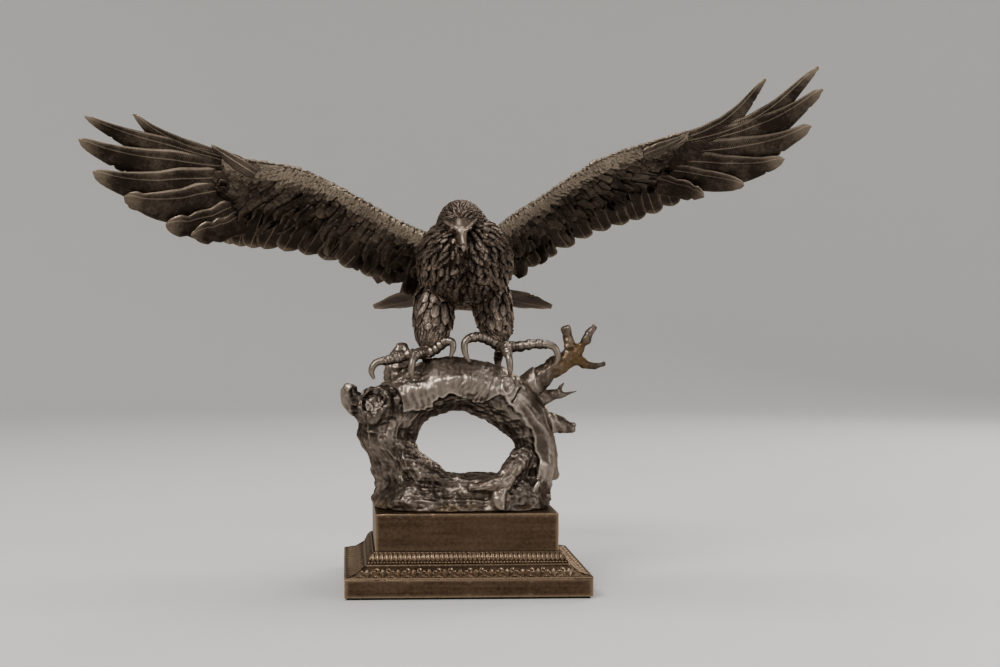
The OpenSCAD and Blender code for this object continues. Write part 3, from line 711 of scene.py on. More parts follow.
def worn_block(node):
    """The CAD casting itself, with its edges rounded, dulled and nicked, and a face that
    is not quite flat."""
    sharp, rounding, longest = 60, 0.9 * MM, 3.6 * MM
    bm = bmesh.new()
    bm.from_mesh(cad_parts[node].data)
    bmesh.ops.remove_doubles(bm, verts=bm.verts, dist=MICRON)
    bmesh.ops.dissolve_limit(bm, angle_limit=math.radians(1), verts=bm.verts, edges=bm.edges)
    outer = [e for e in bm.edges if e.is_manifold and e.calc_length() > 8 * MM
             and math.degrees(e.calc_face_angle()) > sharp]
    bmesh.ops.bevel(bm, geom=outer, offset=rounding, segments=4, profile=0.6, affect="EDGES")
    bmesh.ops.triangulate(bm, faces=bm.faces)
    for _ in range(7):
        long_edges = [e for e in bm.edges if e.calc_length() > longest]
        if not long_edges:
            break
        bmesh.ops.subdivide_edges(bm, edges=long_edges, cuts=1)
        bmesh.ops.triangulate(bm, faces=[f for f in bm.faces if len(f.verts) > 3])
    mesh = bpy.data.meshes.new(node + "_cast")
    bm.to_mesh(mesh)
    bm.free()
    points = coordinates(mesh)
    low, high = points.min(0), points.max(0)
    near = np.sort(np.minimum(points - low, high - points), axis=1)
    skin = near[:, 0] < 1.2 * MM
    edge = bell_mm(near[:, 1], 1.1) * skin
    dent = 0.22 * MM * fractal(points, [40, 40, 9], 3)
    nick = 0.55 * MM * edge * smoothstep(0.25, 0.8, fractal(points, 7, 8))
    fade = step_mm(0.2, 2.5, points[:, 2] - low[2])
    shift = (dent * skin - nick) * fade
    points = points + coordinates(mesh, "normal") * shift[:, None]
    mesh.vertices.foreach_set("co", points.ravel())
    mesh.update()
    streak = fractal(points, [60, 60, 1.6], 21, 3)
    # Rubbed bright on the edges; faces off the outer box get painted shade, and streaks darken the
    # patina
    rub = 0.14 + 0.75 * edge + 0.07 * streak
    deep = 0.06 * smoothstep(0.2, 0.9, -streak) + (~skin) * 0.8
    finish_mesh(mesh, {"rub": rub, "deep": deep, "tone": 0.25 + 0 * rub})
    mesh.set_sharp_from_angle(angle=math.radians(40))
    piece(add_object(node + "_cast", mesh), node, "plinth_bronze")


def palmettes(x, y, pitch):
    """Relief from 0 to 1 of a running palmette band: fans of leaves between S-scrolls.
    x runs along the band and y up it, both in metres, with y from 0 to pitch."""
    col = np.floor(x / pitch)
    cx = (x / pitch - col - 0.5) * 2
    cy = y / pitch * 2
    flip = np.where(col % 2, 1, -1)
    angle = np.arctan2(cx, cy + 0.25)
    radius = np.hypot(cx, cy + 0.25)
    leaves = np.abs(np.cos(angle * 4.2)) ** 0.8 * smoothstep(0.25, 0.45, radius)
    lobe = 0.25 * np.cos(angle * 8.4)
    outline = smoothstep(1.75 + lobe, 1.5 + lobe, radius)
    fan = leaves * outline * smoothstep(1.15, 0.95, np.abs(angle))
    bud = smoothstep(0.34, 0.2, radius)
    scroll = np.abs(np.hypot(np.abs(cx) - 0.78, cy - 1.25 + 0.15 * flip) - 0.28)
    curl = smoothstep(0.15, 0.04, scroll)
    return np.maximum(np.maximum(fan, bud), 0.8 * curl)


def leaf_and_dart(x, y, pitch, height):
    """Relief from 0 to 1 of upright leaves with darts between them."""
    cx = (x / pitch - np.floor(x / pitch) - 0.5) * 2
    cy = np.clip(y / height, 0, 1)
    wide = 0.78 * np.sqrt(np.clip(1 - (1.05 * cy - 0.55) ** 2 * 2.2, 0, 1))
    leaf = smoothstep(wide, wide - 0.16, np.abs(cx))
    vein = 0.45 * bell(cx, 0.13)
    dart = smoothstep(0.16, 0.04, 1 - np.abs(cx)) * smoothstep(0.0, 0.2, cy)
    return np.maximum(leaf * (1 - vein), 0.7 * dart)


def moulding_strip(node, turn, section, relief):
    """One mitred strip of the plinth: a section swept along its side, with cast relief."""
    low, high = corner_of("plinth_block")
    half_x, half_y = (high[0] - low[0]) / 2, (high[1] - low[1]) / 2
    half, out = (half_x, half_y) if turn % 180 == 0 else (half_y, half_x)
    profile, outward = section
    columns = int(2 * (half + profile[:, 0].max()) / (0.42 * MM))
    t = np.linspace(-1, 1, columns)[:, None]
    reach, rise = profile[None, :, 0], profile[None, :, 1]
    x = t * (half + reach)
    height, glow = relief(x, travel(profile)[None] + 0 * x)
    height = height * step_mm(0, 1.5, half + reach - np.abs(x))
    reach = reach + outward[None, :, 0] * height
    rise = rise + outward[None, :, 1] * height
    x, y = t * (half + reach), -(out + reach)
    cos, sin = math.cos(math.radians(turn)), math.sin(math.radians(turn))
    turned = np.stack([x * cos - y * sin, x * sin + y * cos, rise], -1)
    glow = np.broadcast_to(glow, x.shape)[None]
    Soup().tubes(turned[None], rub=glow, deep=0.55 * smoothstep(0.3, 0.0, glow),
                 tone=0.3).cast(node, "plinth_bronze")


def outward_of(profile, decorated):
    """Direction square to a section's decorated stretch, and nothing elsewhere."""
    along = unit(np.gradient(profile, axis=0))
    square = np.stack([along[:, 1], -along[:, 0]], 1)
    return square * decorated[:, None]


COVE_ARC = 55  # degrees that the cove's hollow turns through
COVE_POINTS, BEAD_POINTS, LEAF_POINTS = 34, 9, 26
PALMETTE_PITCH, LEAF_PITCH, BEAD_PITCH = 11.0 * MM, 3.3 * MM, 2.2 * MM


def cove_section(foot):
    """The cove's section, its relief, and its top; foot is how far out its top ends."""
    low, high = corner_of("cove_front")
    z0, z1 = low[2], high[2]
    reach = corner_of("plinth_block")[0][1] - low[1]
    rim = 1.0 * MM
    arc = np.radians(np.linspace(0, COVE_ARC, COVE_POINTS))
    hollow = np.stack([reach - (reach - foot) * np.sin(arc) / np.sin(arc[-1]),
                       z0 + rim + (z1 - z0 - rim) * (1 - np.cos(arc)) / (1 - np.cos(arc[-1]))],
                      1)
    start = np.array([[0, z0], [reach, z0], [reach, z0 + 0.5 * rim]])
    profile = np.concatenate([start, hollow, [[0, z1]]])
    arc_length = np.linalg.norm(np.diff(hollow, axis=0), axis=1).sum()
    s = np.linspace(0, 1, COVE_POINTS)
    marks = np.concatenate([np.zeros(3), smoothstep(0, 0.1, s) * smoothstep(1, 0.93, s), [0]])
    before = reach + rim

    def relief(x, y):
        low, high = y - before, before + arc_length
        band = (low - 2.0 * MM) / (arc_length - 3.6 * MM) * PALMETTE_PITCH
        inside = step_mm(0, 0.8, low - 1.6 * MM) * step_mm(0, 0.8, high - 1.4 * MM - y)
        leaf = palmettes(x, band, PALMETTE_PITCH) * inside
        lines = bell_mm(low - 1.0 * MM, 0.35) + bell_mm(high - 0.9 * MM - y, 0.35)
        up = np.maximum(leaf, 0.8 * lines)
        grain = 0.1 * fractal(np.stack([x, y, 0 * x], -1), 1.2, 31, 2)
        rim_line = bell_mm(low + 0.4 * MM, 0.9)
        return (up - 0.3 + grain) * 0.75 * MM, 0.12 + 0.7 * up + 0.8 * rim_line

    return (profile, outward_of(profile, marks)), relief, z1


def leaf_section(foot, z1):
    """The section of the bead and leaf moulding above the cove, and its relief."""
    z2 = corner_of("leaf_moulding_front")[1][2]
    bead, radius = 1.5 * MM, 0.75 * MM
    s = np.linspace(0, 1, LEAF_POINTS)
    face = np.stack([lerp(foot - 1 * MM, 1.2 * MM, s) + 0.8 * MM * np.sin(np.pi * s),
                     lerp(z1 + bead, z2, s)], 1)
    turn = np.radians(np.linspace(-80, 80, BEAD_POINTS))
    bead_arc = np.stack([foot - radius + radius * np.cos(turn),
                         z1 + radius + radius * np.sin(turn)], 1)
    profile = np.concatenate([[[0, z1]], bead_arc, face, [[0, z2]]])
    marks = np.concatenate([[0], np.ones(BEAD_POINTS) * 0.7,
                            smoothstep(0, 0.08, s) * smoothstep(1, 0.94, s), [0]])
    along = travel(profile)
    bead_end, leaf_start = along[BEAD_POINTS], along[BEAD_POINTS + 1]
    leaf_end = along[BEAD_POINTS + LEAF_POINTS]

    def relief(x, y):
        height = leaf_end - leaf_start
        leaf = leaf_and_dart(x, y - leaf_start - 0.6 * MM, LEAF_PITCH, height - 1.6 * MM)
        leaf = leaf * (y > leaf_start + 0.3 * MM) * step_mm(0, 0.4, leaf_end - 0.9 * MM - y)
        top = bell_mm(leaf_end - 0.5 * MM - y, 0.4)
        beads = (y < bead_end + 0.1 * MM) * (0.5 + 0.5 * np.cos(2 * np.pi * x / BEAD_PITCH))
        up = np.maximum(np.maximum(leaf, top), beads)
        return (up - 0.35) * 0.55 * MM, 0.08 + 0.42 * up

    return (profile, outward_of(profile, marks)), relief


def build_plinth():
    worn_block("plinth_slab")
    worn_block("plinth_block")
    foot = corner_of("plinth_block")[0][1] - corner_of("leaf_moulding_front")[0][1]
    cove, cove_relief, cove_top = cove_section(foot)
    leaves, leaf_relief = leaf_section(foot, cove_top)
    for side, turn in (("front", 0), ("left", 90), ("back", 180), ("right", 270)):
        moulding_strip(f"cove_{side}", turn, cove, cove_relief)
        moulding_strip(f"leaf_moulding_{side}", turn, leaves, leaf_relief)


# ------------------------------------------------------------------ flight and tail feathers

BODY_CENTRE = np.array([0, 0, 0.25])
TAIL_ROOT = np.array([0, 0, 0.22])
# How much wider the root halves of the primaries are drawn, from the leading one
PRIMARY_INNER = (0.5, 0.7, 0.9, 1.0, 1.0, 0.6, 0.4)
TAIL_ROLL = 0.35


def feather_piece(node, root_near=BODY_CENTRE, **shape):
    """A feather for each blade of a CAD node."""
    soup = Soup()
    for blade in solids_of(node):
        flight_feather(soup, blade, root_near, **shape)
    soup.cast(node, "feather_bronze")


def build_feathers():
    for side, lead in (("left", -1), ("right", 1)):
        names = [f"primary_{side}_{number}" for number in range(1, 8)]
        hand = sheet_through([solids_of(node)[0] for node in names])
        for number, (node, inner) in enumerate(zip(names, PRIMARY_INNER), 1):
            feather_piece(node, shaft=0.5, lead=lead, thick=1.1 * MM, nicks=2 * (number < 6),
                          inner=inner, sheet=hand, keep=(0.2, 0.9))
        feather_piece(f"secondaries_{side}", shaft=0.15, lead=lead, rows=100, nicks=1,
                      thick=0.8 * MM, blunt=1.05, pale=-0.13, sheet=Wing(side).behind,
                      keep=(0.2, 0.3))
        feather_piece(f"alula_{side}", shaft=0.2, lead=lead, rows=46, cols=11, nicks=0,
                      pale=0.15)
    for number in range(1, 10):
        node = f"tail_feather_{number}"
        off_middle = solids_of(node)[0][:, 0].mean()
        feather_piece(node, TAIL_ROOT, rows=110, nicks=2, inner=0.7,
                      roll=-TAIL_ROLL * np.tanh(off_middle / (12 * MM)))


# ------------------------------------------------------------------ stage, lights and camera

def build_stage():
    """A round pale floor that curves up into a wall, so that every view has a plain ground."""
    radius, wall, bend, sides = 2.9, 1.6, 0.9, 96  # metres, and points round it
    arc = np.radians(np.linspace(0, 90, 14))
    profile = [(0.02, 0), (0.6, 0), (1.4, 0)]
    profile += [(radius - bend + bend * math.sin(q), bend - bend * math.cos(q)) for q in arc]
    profile += [(radius, bend + wall)]
    profile = np.array(profile)
    turn = 2 * np.pi * np.arange(sides) / sides
    points = np.stack([profile[:, None, 0] * np.cos(turn), profile[:, None, 0] * np.sin(turn),
                       profile[:, None, 1] + 0 * turn], -1).reshape(-1, 3)
    faces = [[i * sides + j, i * sides + (j + 1) % sides, (i + 1) * sides + (j + 1) % sides,
              (i + 1) * sides + j] for i in range(len(profile) - 1) for j in range(sides)]
    faces.append(list(range(sides - 1, -1, -1)))
    mesh = bpy.data.meshes.new("studio_floor")
    mesh.from_pydata(points.tolist(), [], faces)
    mesh.polygons.foreach_set("use_smooth", [True] * len(mesh.polygons))
    mesh.materials.append(new_material("studio_floor", Base_Color=(0.62, 0.61, 0.59, 1),
                                       Roughness=0.6)[0])
    add_object("studio_floor", mesh)


def area_light(name, place, target, size, power, tint=(1, 1, 1)):
    light = bpy.data.lights.new(name, "AREA")
    light.shape = "RECTANGLE"
    light.size, light.size_y = size
    light.energy = power
    light.color = tint
    obj = add_object(name, light)
    obj.location = place
    obj.rotation_euler = (Vector(target) - Vector(place)).to_track_quat("-Z", "Y").to_euler()


def build_lights():
    middle = (0, 0, 0.22)
    area_light("key", (-0.9, -1.3, 1.7), middle, (1.0, 0.7), 42, (1.0, 0.97, 0.93))
    area_light("fill", (1.5, -1.2, 0.8), middle, (1.0, 1.0), 10)
    area_light("top", (0.1, 0.5, 1.9), middle, (1.6, 0.8), 22)
    area_light("rim", (1.2, 1.3, 1.0), middle, (0.6, 1.0), 14)
    world = bpy.data.worlds.new("studio")
    world.use_nodes = True
    set_inputs(world.node_tree.nodes["Background"], Color=(0.95, 0.97, 1.0, 1), Strength=0.28)
    bpy.context.scene.world = world


def build_camera():
    camera = bpy.data.cameras.new("camera")
    camera.sensor_width = 36
    camera.lens = 61.2
    camera.shift_x = 0.08
    pitch_down, yaw = 1.13, -2.56
    obj = add_object("camera", camera)
    obj.location = (-0.088, -1.267, 0.211)
    obj.rotation_euler = (math.radians(90 - pitch_down), 0, math.radians(yaw))
    bpy.context.scene.camera = obj


# ------------------------------------------------------------------ log

HOLE = np.array([2, 0, 104]) * MM
LOG_NODES = ["log_root_base", "log_left_trunk", "log_arch", "log_right_trunk", "hollow_stump",
             "forked_branch", "twig", "branch_stub", "bark_knob"]
# Front edge of the smooth bark: angle round the hole from +X, and angle round the log
# from its outermost line towards the front
BARK_EDGE = [(-40, 84), (0, 93), (31, 88), (44, 93), (57, 88), (64, 98), (73, 117), (84, 110),
             (98, 105), (112, 109), (130, 117), (148, 108), (158, 94), (168, 66), (180, 10)]
STUMP_MOUTH = np.array([-67, -32, 137]) * MM
STUMP_ROOT = np.array([-59, -8, 126]) * MM
STUMP_AXIS = unit(STUMP_MOUTH - STUMP_ROOT)
# Knots in the bark: x and z in mm, radius in mm, and depth
KNOTS = [((31, 146.5), 3.7, 1.0), ((43, 148), 1.6, 0.7)]
CRACK = np.array([[40.5, 145.5], [38, 142], [36.5, 138.5], [34.4, 136]])
# Limbs in mm that the bark covers: x, y, z, half width, half height
SWEEP = [(-54, -15, 112, 10, 10), (-44, -22, 97, 10, 10), (-32, -27, 85, 9, 9),
         (-15, -29, 78.5, 8, 7.5), (4, -30, 75, 8, 7), (24, -29, 74, 8, 7), (37, -25, 80, 8, 7),
         (45, -18, 92, 8, 7)]
TOE_ROOTS = [[(44, -21, 99, 8, 8), (37, -30, 89, 8, 7), (26, -38, 80, 8, 6.5),
              (14, -42, 76, 6, 5), (2, -43, 76, 4, 3)],
             [(30, -36, 82, 8, 7), (25, -41, 72, 7, 6), (22, -43, 64, 8, 6), (21, -44, 59, 9, 5)]]
LEFT_FOOT = [(-66, -4, 106, 9, 13), (-62, -3, 92, 13, 15), (-58, -2, 78, 13, 16),
             (-52, -2, 66, 11, 16), (-51, -2, 61, 10, 14)]
STUMP_REACH, STUMP_HOLLOW = 19 * MM, 10.5 * MM  # radii of its wood and of its mouth
STUMP_FILL = 0.78  # how far up the stump its broken wood reaches
FORK = np.array([79, -5, 168]) * MM
PLINTH_TOP = 58.2 * MM  # where the log's relief starts, just above the block
FLAP = [(-66, -8, 124, 9, 7), (-74, -15, 131, 9, 4.5), (-81, -19, 139, 8.5, 3),
        (-85, -21, 147, 6.5, 2.2), (-87, -21, 150, 3, 1.5)]
BRANCH = [(50, -5, 146, 9, 9), (60, -5, 154.5, 8, 8), (70, -5, 162, 7, 7.2),
          (79, -5, 168, 6.8, 6.8), (80.5, -5, 176, 5, 5), (78.5, -5, 184, 4.2, 4.2),
          (77, -5, 190, 4.4, 4), (76.6, -5, 191.5, 2.8, 2.8)]
STUB = [(58, -5, 121, 6, 6), (70, -5, 120, 5, 4.6), (80, -5, 117.5, 4.2, 3.8),
        (83, -5, 116.5, 4.6, 3.8), (85, -5, 116, 3, 2.6)]
PRONGS = [[(77, -5, 167, 5, 5), (85, -6, 171, 4.5, 4.5), (90, -6, 178, 3.5, 3.7),
           (95, -6, 186, 2.9, 3), (98, -6, 190.5, 3.3, 3), (99, -6, 192.5, 1.8, 1.8)],
          [(77, -5, 165, 5, 5), (87, -5, 165.4, 4.4, 4.4), (95, -5, 163, 3.3, 3.4),
           (102, -5, 162.3, 2.8, 2.7), (106.5, -5, 163, 2.9, 2.7), (108, -5, 163.4, 1.5, 1.5)]]


class LogFrame:
    """Angle round the hole, angle round the log, and distance from the log's middle line."""

    def __init__(self):
        points = np.concatenate([cad_mesh(n)[0] for n in LOG_NODES[1:4]])
        turn, radius = self.polar(points)
        self.marks = np.arange(-28, 209, 8)
        reach = 9  # degrees to each side of a mark
        rows = [np.abs(turn - m) < reach for m in self.marks]
        self.radius = np.array([(radius[r].min() + radius[r].max()) / 2 for r in rows])
        self.depth = np.array([(points[r, 1].min() + points[r, 1].max()) / 2 for r in rows])

    def polar(self, points):
        x, z = points[:, 0] - HOLE[0], points[:, 2] - HOLE[2]
        turn = np.degrees(np.arctan2(z, x))
        return np.where(turn < -90, turn + 360, turn), np.hypot(x, z)

    def place(self, points):
        turn, radius = self.polar(points)
        out = radius - np.interp(turn, self.marks, self.radius)
        front = np.interp(turn, self.marks, self.depth) - points[:, 1]
        return turn, np.degrees(np.arctan2(front, out)), out, front


def distance_to_line(points, line):
    """Distance from each point of a plane to an open line through a few corners."""
    best = np.full(len(points), np.inf)
    for a, b in zip(line[:-1], line[1:]):
        t = np.clip(((points - a) @ (b - a)) / dot(b - a, b - a), 0, 1)
        best = np.minimum(best, np.linalg.norm(points - a - t[:, None] * (b - a), axis=1))
    return best


def wood_relief(points, turn, out, front, warp, base):
    """Split wood in mm, and the crests and toes that also tint it: split, fine, rocks, toe."""
    x, y, z = points.T
    grain_radius = 52 * MM
    grain = np.stack([np.radians(turn) * grain_radius, out + warp[:, 0], front + warp[:, 1]], 1)
    level = np.stack([x, y + warp[:, 0], z + 0.6 * warp[:, 1]], 1)
    split = ridged(grain, [17, 3.6, 3.6], 50)
    strata = ridged(level, [15, 6, 3.4], 54)
    rocks = ridged(points, [13, 11, 7], 58, 3)
    fine = ridged(grain, [13, 2.0, 2.0], 52, 2)
    toe = np.min([distance_to_line(points[:, [0, 2]] / MM, np.array(rows)[:, [0, 2]])
                  for rows in TOE_ROOTS], axis=0)
    toe = smoothstep(8, 5, toe) * step_mm(-30, -38, y)
    wood = lerp(1.2 * (split - 0.55) + 0.5 * (fine - 0.6) + 2.4 * (rocks - 0.55),
                1.2 * (strata - 0.55) + 2.8 * (rocks - 0.55), base)
    wood = wood + 1.8 * fractal(points, 14, 60) + 0.35 * fractal(points, 2.2, 64, 2)
    wood = lerp(wood, 1.8 * fractal(points, 9, 61, 4) + 0.8 * (split - 0.55), 0.8 * toe)
    return wood, split, fine, rocks, toe, grain


def knot_relief(points):
    """Raised rings with a pit in the middle, on the front of the bark."""
    x, y, z = points.T
    mark = 0 * x
    for (kx, kz), size, depth in KNOTS:
        d = np.hypot(x - kx * MM, (z - kz * MM) * 0.8) * (1 + 0.3 * noise(points, 4, 87))
        ring = bell_mm(d - size * MM, 0.8)
        pit = bell_mm(d, size * 0.5)
        moat = bell_mm(d - 1.5 * size * MM, 0.6)
        mark = mark + (y < -4 * MM) * depth * (0.9 * ring - 0.9 * pit - 0.6 * moat)
    return mark


def log_relief(points, facing, log):
    """How far each point of the log moves along its normal, and its values of wear with painted
    highlight, of patina with painted shade, and of tone.
    """
    turn, round_log, out, front = log.place(points)
    x, y, z = points.T
    warp = 3.5 * MM * np.stack([noise(points, 22, 40), noise(points, 22, 41)], 1)
    base = step_mm(84, 76, z)
    wood, split, fine, rocks, toe, grain = wood_relief(points, turn, out, front, warp, base)

    edge = np.interp(turn, *np.array(BARK_EDGE, float).T)
    along = np.stack([turn * 0.9 * MM, 0 * x, 0 * x], 1)
    ragged = 6 * noise(along, 6, 70) + 3 * noise(along, 2.4, 71)
    ragged = ragged * lerp(0.35, 1, smoothstep(35, 75, turn))
    side = np.where(round_log >= 0, edge + ragged, edge + 14 + 2 * ragged)
    cover = (side - np.abs(round_log)) * 0.4
    limb = step_mm(3, 9, np.hypot(out, front) - 22 * MM) * (turn < 60) * (x > 54 * MM)
    up_stump = dot(points - STUMP_ROOT, STUMP_AXIS)
    off_stump = np.linalg.norm(np.cross(points - STUMP_ROOT, STUMP_AXIS), axis=1)
    stump = (off_stump < STUMP_REACH) * step_mm(6, 12, up_stump)
    bark = np.maximum(smoothstep(-0.6, 0.7, cover), limb) * (1 - stump)
    bark = bark * step_mm(70, 76, z) * (1 - step_mm(-50, -58, x) * (z < 120 * MM))
    lip = bell(cover - 0.9, 1.1) * bark

    bark_radius, wrinkle_pitch = 47 * MM, 4.6 * MM
    slant = np.radians(turn) * bark_radius + 0.45 * out + 0.35 * warp[:, 0]
    wrinkle = np.sin(slant * 2 * np.pi / wrinkle_pitch + 5.5 * noise(points, 8, 74))
    wrinkle = wrinkle * smoothstep(66, 78, turn) * (0.5 + 0.7 * noise(points, 10, 75))
    hammered = ridged(np.stack([slant, out, front], 1), [3.5, 9, 9], 76, 2)
    hammered = (hammered - 0.55) * smoothstep(60, 80, turn)
    column = smoothstep(45, 20, turn)
    facets = ridged(grain, [30, 13, 13], 78, 2) * column
    seam = bell_mm((turn - 68 - 0.02 * (round_log - 70)) * 0.8 * MM, 1.3) * (round_log > 20)
    sheet = 1.5 + 0.34 * wrinkle + 0.8 * hammered + 4.6 * (facets - 0.45 * column) + 0.6 * lip
    sheet = sheet + 0.8 * smoothstep(70, 66, turn) - 0.4 * seam + 0.9 * fractal(points, 9, 80, 3)
    sheet = sheet + 0.3 * fractal(points, 2.4, 82, 2)
    mark = knot_relief(points)
    crack = bell(distance_to_line(points[:, [0, 2]] / MM, CRACK), 0.7) * (y < -4 * MM)
    sheet = sheet + mark - 1.1 * crack
    rings = np.sin((x + z) / (3.3 * MM) + 1.5 * noise(points, 7, 83)) * limb
    sheet = lerp(sheet, 0.6 * rings + 1.3 * fractal(points, 4.5, 85, 3), limb)
    knob = step_mm(146, 153, z) * step_mm(-22, -34, x)
    lumps = 4.5 * (ridged(points, 11, 86, 3) - 0.6) + 1.2 * fractal(points, 4, 89, 3)
    sheet = lerp(sheet, lumps, knob)

    broken = 1.7 * fractal(points, 5.5, 88, 3) + 2.2 * (ridged(points, [5, 9, 4], 91, 2) - 0.55)
    torn = np.clip(stump + (x < -74 * MM) * (z > 122 * MM), 0, 1)
    height = lerp(lerp(wood, broken + 0.5, torn), sheet, bark)
    height = height * step_mm(0, 2.5, z - PLINTH_TOP)

    stump = np.clip(stump, 0, 1)
    worn_wood = 0.27 + 0.2 * (split - 0.5) + 0.2 * (fine - 0.6) + 0.3 * (rocks - 0.5) + 0.3 * toe
    rub = lerp(worn_wood, 0.42 + 0.14 * wrinkle + 0.3 * hammered, bark)
    rub = rub + 0.45 * lip + 0.2 * mark * bark
    rub = rub + 1.3 * bark * (facets - 0.45) * smoothstep(45, 30, turn)
    # Painted highlight on bark that faces up, where light from above falls
    rub = rub + 0.3 * bark * smoothstep(0.0, 0.5, facing[:, 2]) * (x < 40 * MM)
    rub = rub + 0.14 * stump - 0.6 * crack - 0.2 * seam * bark - 0.26 * limb - 0.1 * knob
    # Darker in the wood's splits, the crack and seam, and the stump's hollow: patina with painted
    # shade
    deep = (1 - bark) * (0.12 + 0.4 * smoothstep(0.5, 0.25, split))
    deep = deep + 0.9 * crack + 0.25 * seam * bark
    deep = deep + 0.05 * stump * (off_stump < STUMP_HOLLOW) + 0.2 * limb - 0.2 * stump
    shade = smoothstep(-2.6, -0.3, cover) * (np.abs(round_log) < 150) * (turn < 178)
    deep = deep + 0.5 * (1 - bark) * shade * (1 - base)
    fork = step_mm(26, 8, np.linalg.norm(points - FORK, axis=1))
    foot = base * smoothstep(0.1, 0.6, fractal(points, 16, 90)) * step_mm(66, 60, z)
    # Painted highlight, as a golden tone, on bark near the top that faces up
    top_highlight = 0.5 * bark * smoothstep(0.3, 0.8, facing[:, 2]) * step_mm(140, 148, z)
    return height * MM, rub, deep, 0.9 * fork + 0.8 * foot + 0.5 * toe + top_highlight


def cut_plane(bm, spot, square, inside):
    """Cuts the faces for which inside(middle) holds along a plane."""
    faces = [f for f in bm.faces if inside(f.calc_center_median())]
    edges = list({e for f in faces for e in f.edges})
    verts = list({v for f in faces for v in f.verts})
    bmesh.ops.bisect_plane(bm, geom=verts + edges + faces, plane_co=Vector(spot),
                           plane_no=Vector(square), dist=1e-7)


# Cuts between the log's castings: a point in mm, the way the plane faces, and its faces
CUTS = {
    "base": ((0, 0, 79), (0, 0, 1), lambda c: abs(c.z - 0.079) < 0.002),
    "left": ((-42, -3, 135), (0.8, 0, 0.6), lambda c: c.x < -0.02 and 0.1 < c.z < 0.175),
    "right": ((40, -4, 129), (0.68, 0, -0.73), lambda c: 0.01 < c.x < 0.07 and c.z > 0.1),
    "rim": ((10, 0, 85), (1, 0, 0), lambda c: abs(c.x - 0.01) < 0.003 and 0.075 < c.z < 0.1),
    "fork": ((57, -5, 151), (0.75, 0, 0.66), lambda c: c.x > 0.044 and c.z > 0.137),
    "twig": ((63, -7, 140), (1, 0, 0.15), lambda c: c.x > 0.055 and 0.131 < c.z < 0.15),
    "stub": ((63, -5, 119), (1, 0, -0.3), lambda c: c.x > 0.055 and 0.106 < c.z < 0.127),
    "knob": ((-48, 10, 151.5), (0.05, 0, 1), lambda c: -0.064 < c.x < -0.03 and c.z > 0.145),
    "stump": (STUMP_ROOT / MM + 12 * STUMP_AXIS, STUMP_AXIS,
              lambda c: c.x < -0.03 and c.z > 0.1),
}
LOG_VOXEL, QUICK_LOG_VOXEL = 0.72 * MM, 1.3 * MM
LEFT_FOOT_LEAN = 9 * MM  # towards the hole, where the left trunk meets the base


def log_surface():
    """The whole log as one surface, with its values."""
    plug = lerp(STUMP_ROOT, STUMP_MOUTH, STUMP_FILL) / MM
    grown = [SWEEP, *TOE_ROOTS, LEFT_FOOT, FLAP, BRANCH, *PRONGS, STUB,
             [(*STUMP_ROOT / MM, 11, 11), (*lerp(STUMP_ROOT / MM, plug, 0.9), 11, 11),
              (*plug, 8, 8)]]
    trunk = [cad_mesh(node) for node in LOG_NODES if node != "forked_branch"]
    points, quads = remeshed(joined(*trunk, *[limb_mesh(rows) for rows in grown]),
                             LOG_VOXEL, smooth=8)
    facing = normals(points, quads)
    height, rub, deep, tone = log_relief(points, facing, LogFrame())
    points = points + facing * height[:, None]
    lean = step_mm(-44, -62, points[:, 0]) * step_mm(112, 88, points[:, 2])
    points[:, 0] += LEFT_FOOT_LEAN * lean * step_mm(60, 76, points[:, 2])
    mouth = step_mm(-5, 0, dot(points - STUMP_MOUTH, STUMP_AXIS))
    near = np.linalg.norm(points - STUMP_MOUTH, axis=1) < 24 * MM
    splinter = mouth * near * 2.6 * MM * fractal(points, 6, 92, 2)
    points = relaxed(points + STUMP_AXIS * splinter[:, None], quads, 1)
    hollow = cavity(points, quads, rounds=10) / MM
    # Rubbed bright where the surface stands proud, with painted shade where it lies sunk
    rub = rub + 0.55 * np.clip(hollow, -0.6, 0.8)
    deep = deep + 0.9 * np.clip(-hollow - 0.05, 0, 1)
    return Soup().add(points, quads, rub=rub, deep=deep, tone=tone).build("log_whole")


def casting_of(c):
    """The number in LOG_NODES of the casting that each face middle belongs to."""
    def beyond(name):
        spot, square, _ = CUTS[name]
        return dot(c - np.array(spot) * MM, unit(np.array(square, float))) > 0

    base, left, arch, right, stump, fork, twig, stub, knob = range(len(LOG_NODES))
    x, y, z = c.T
    label = np.where(beyond("left"), arch, left)
    label[(x < 0.01) & (z < 0.1)] = left
    label[(x > 0.01) & beyond("right")] = right
    label[z < 0.079] = base
    label[(x < -0.04) & (z > 0.1) & beyond("stump") & (y < -0.006)] = stump
    above_twig = z > 0.1444 + 0.72 * (x - 0.0626)
    label[(x > 0.05) & above_twig & beyond("fork")] = fork
    label[(x > 0.058) & (z > 0.131) & ~above_twig & beyond("twig")] = twig
    label[(x > 0.058) & (z > 0.106) & (z < 0.127) & beyond("stub")] = stub
    label[(x > -0.064) & (x < -0.03) & (z > 0.1515) & beyond("knob") & (y > -0.004)] = knob
    return label


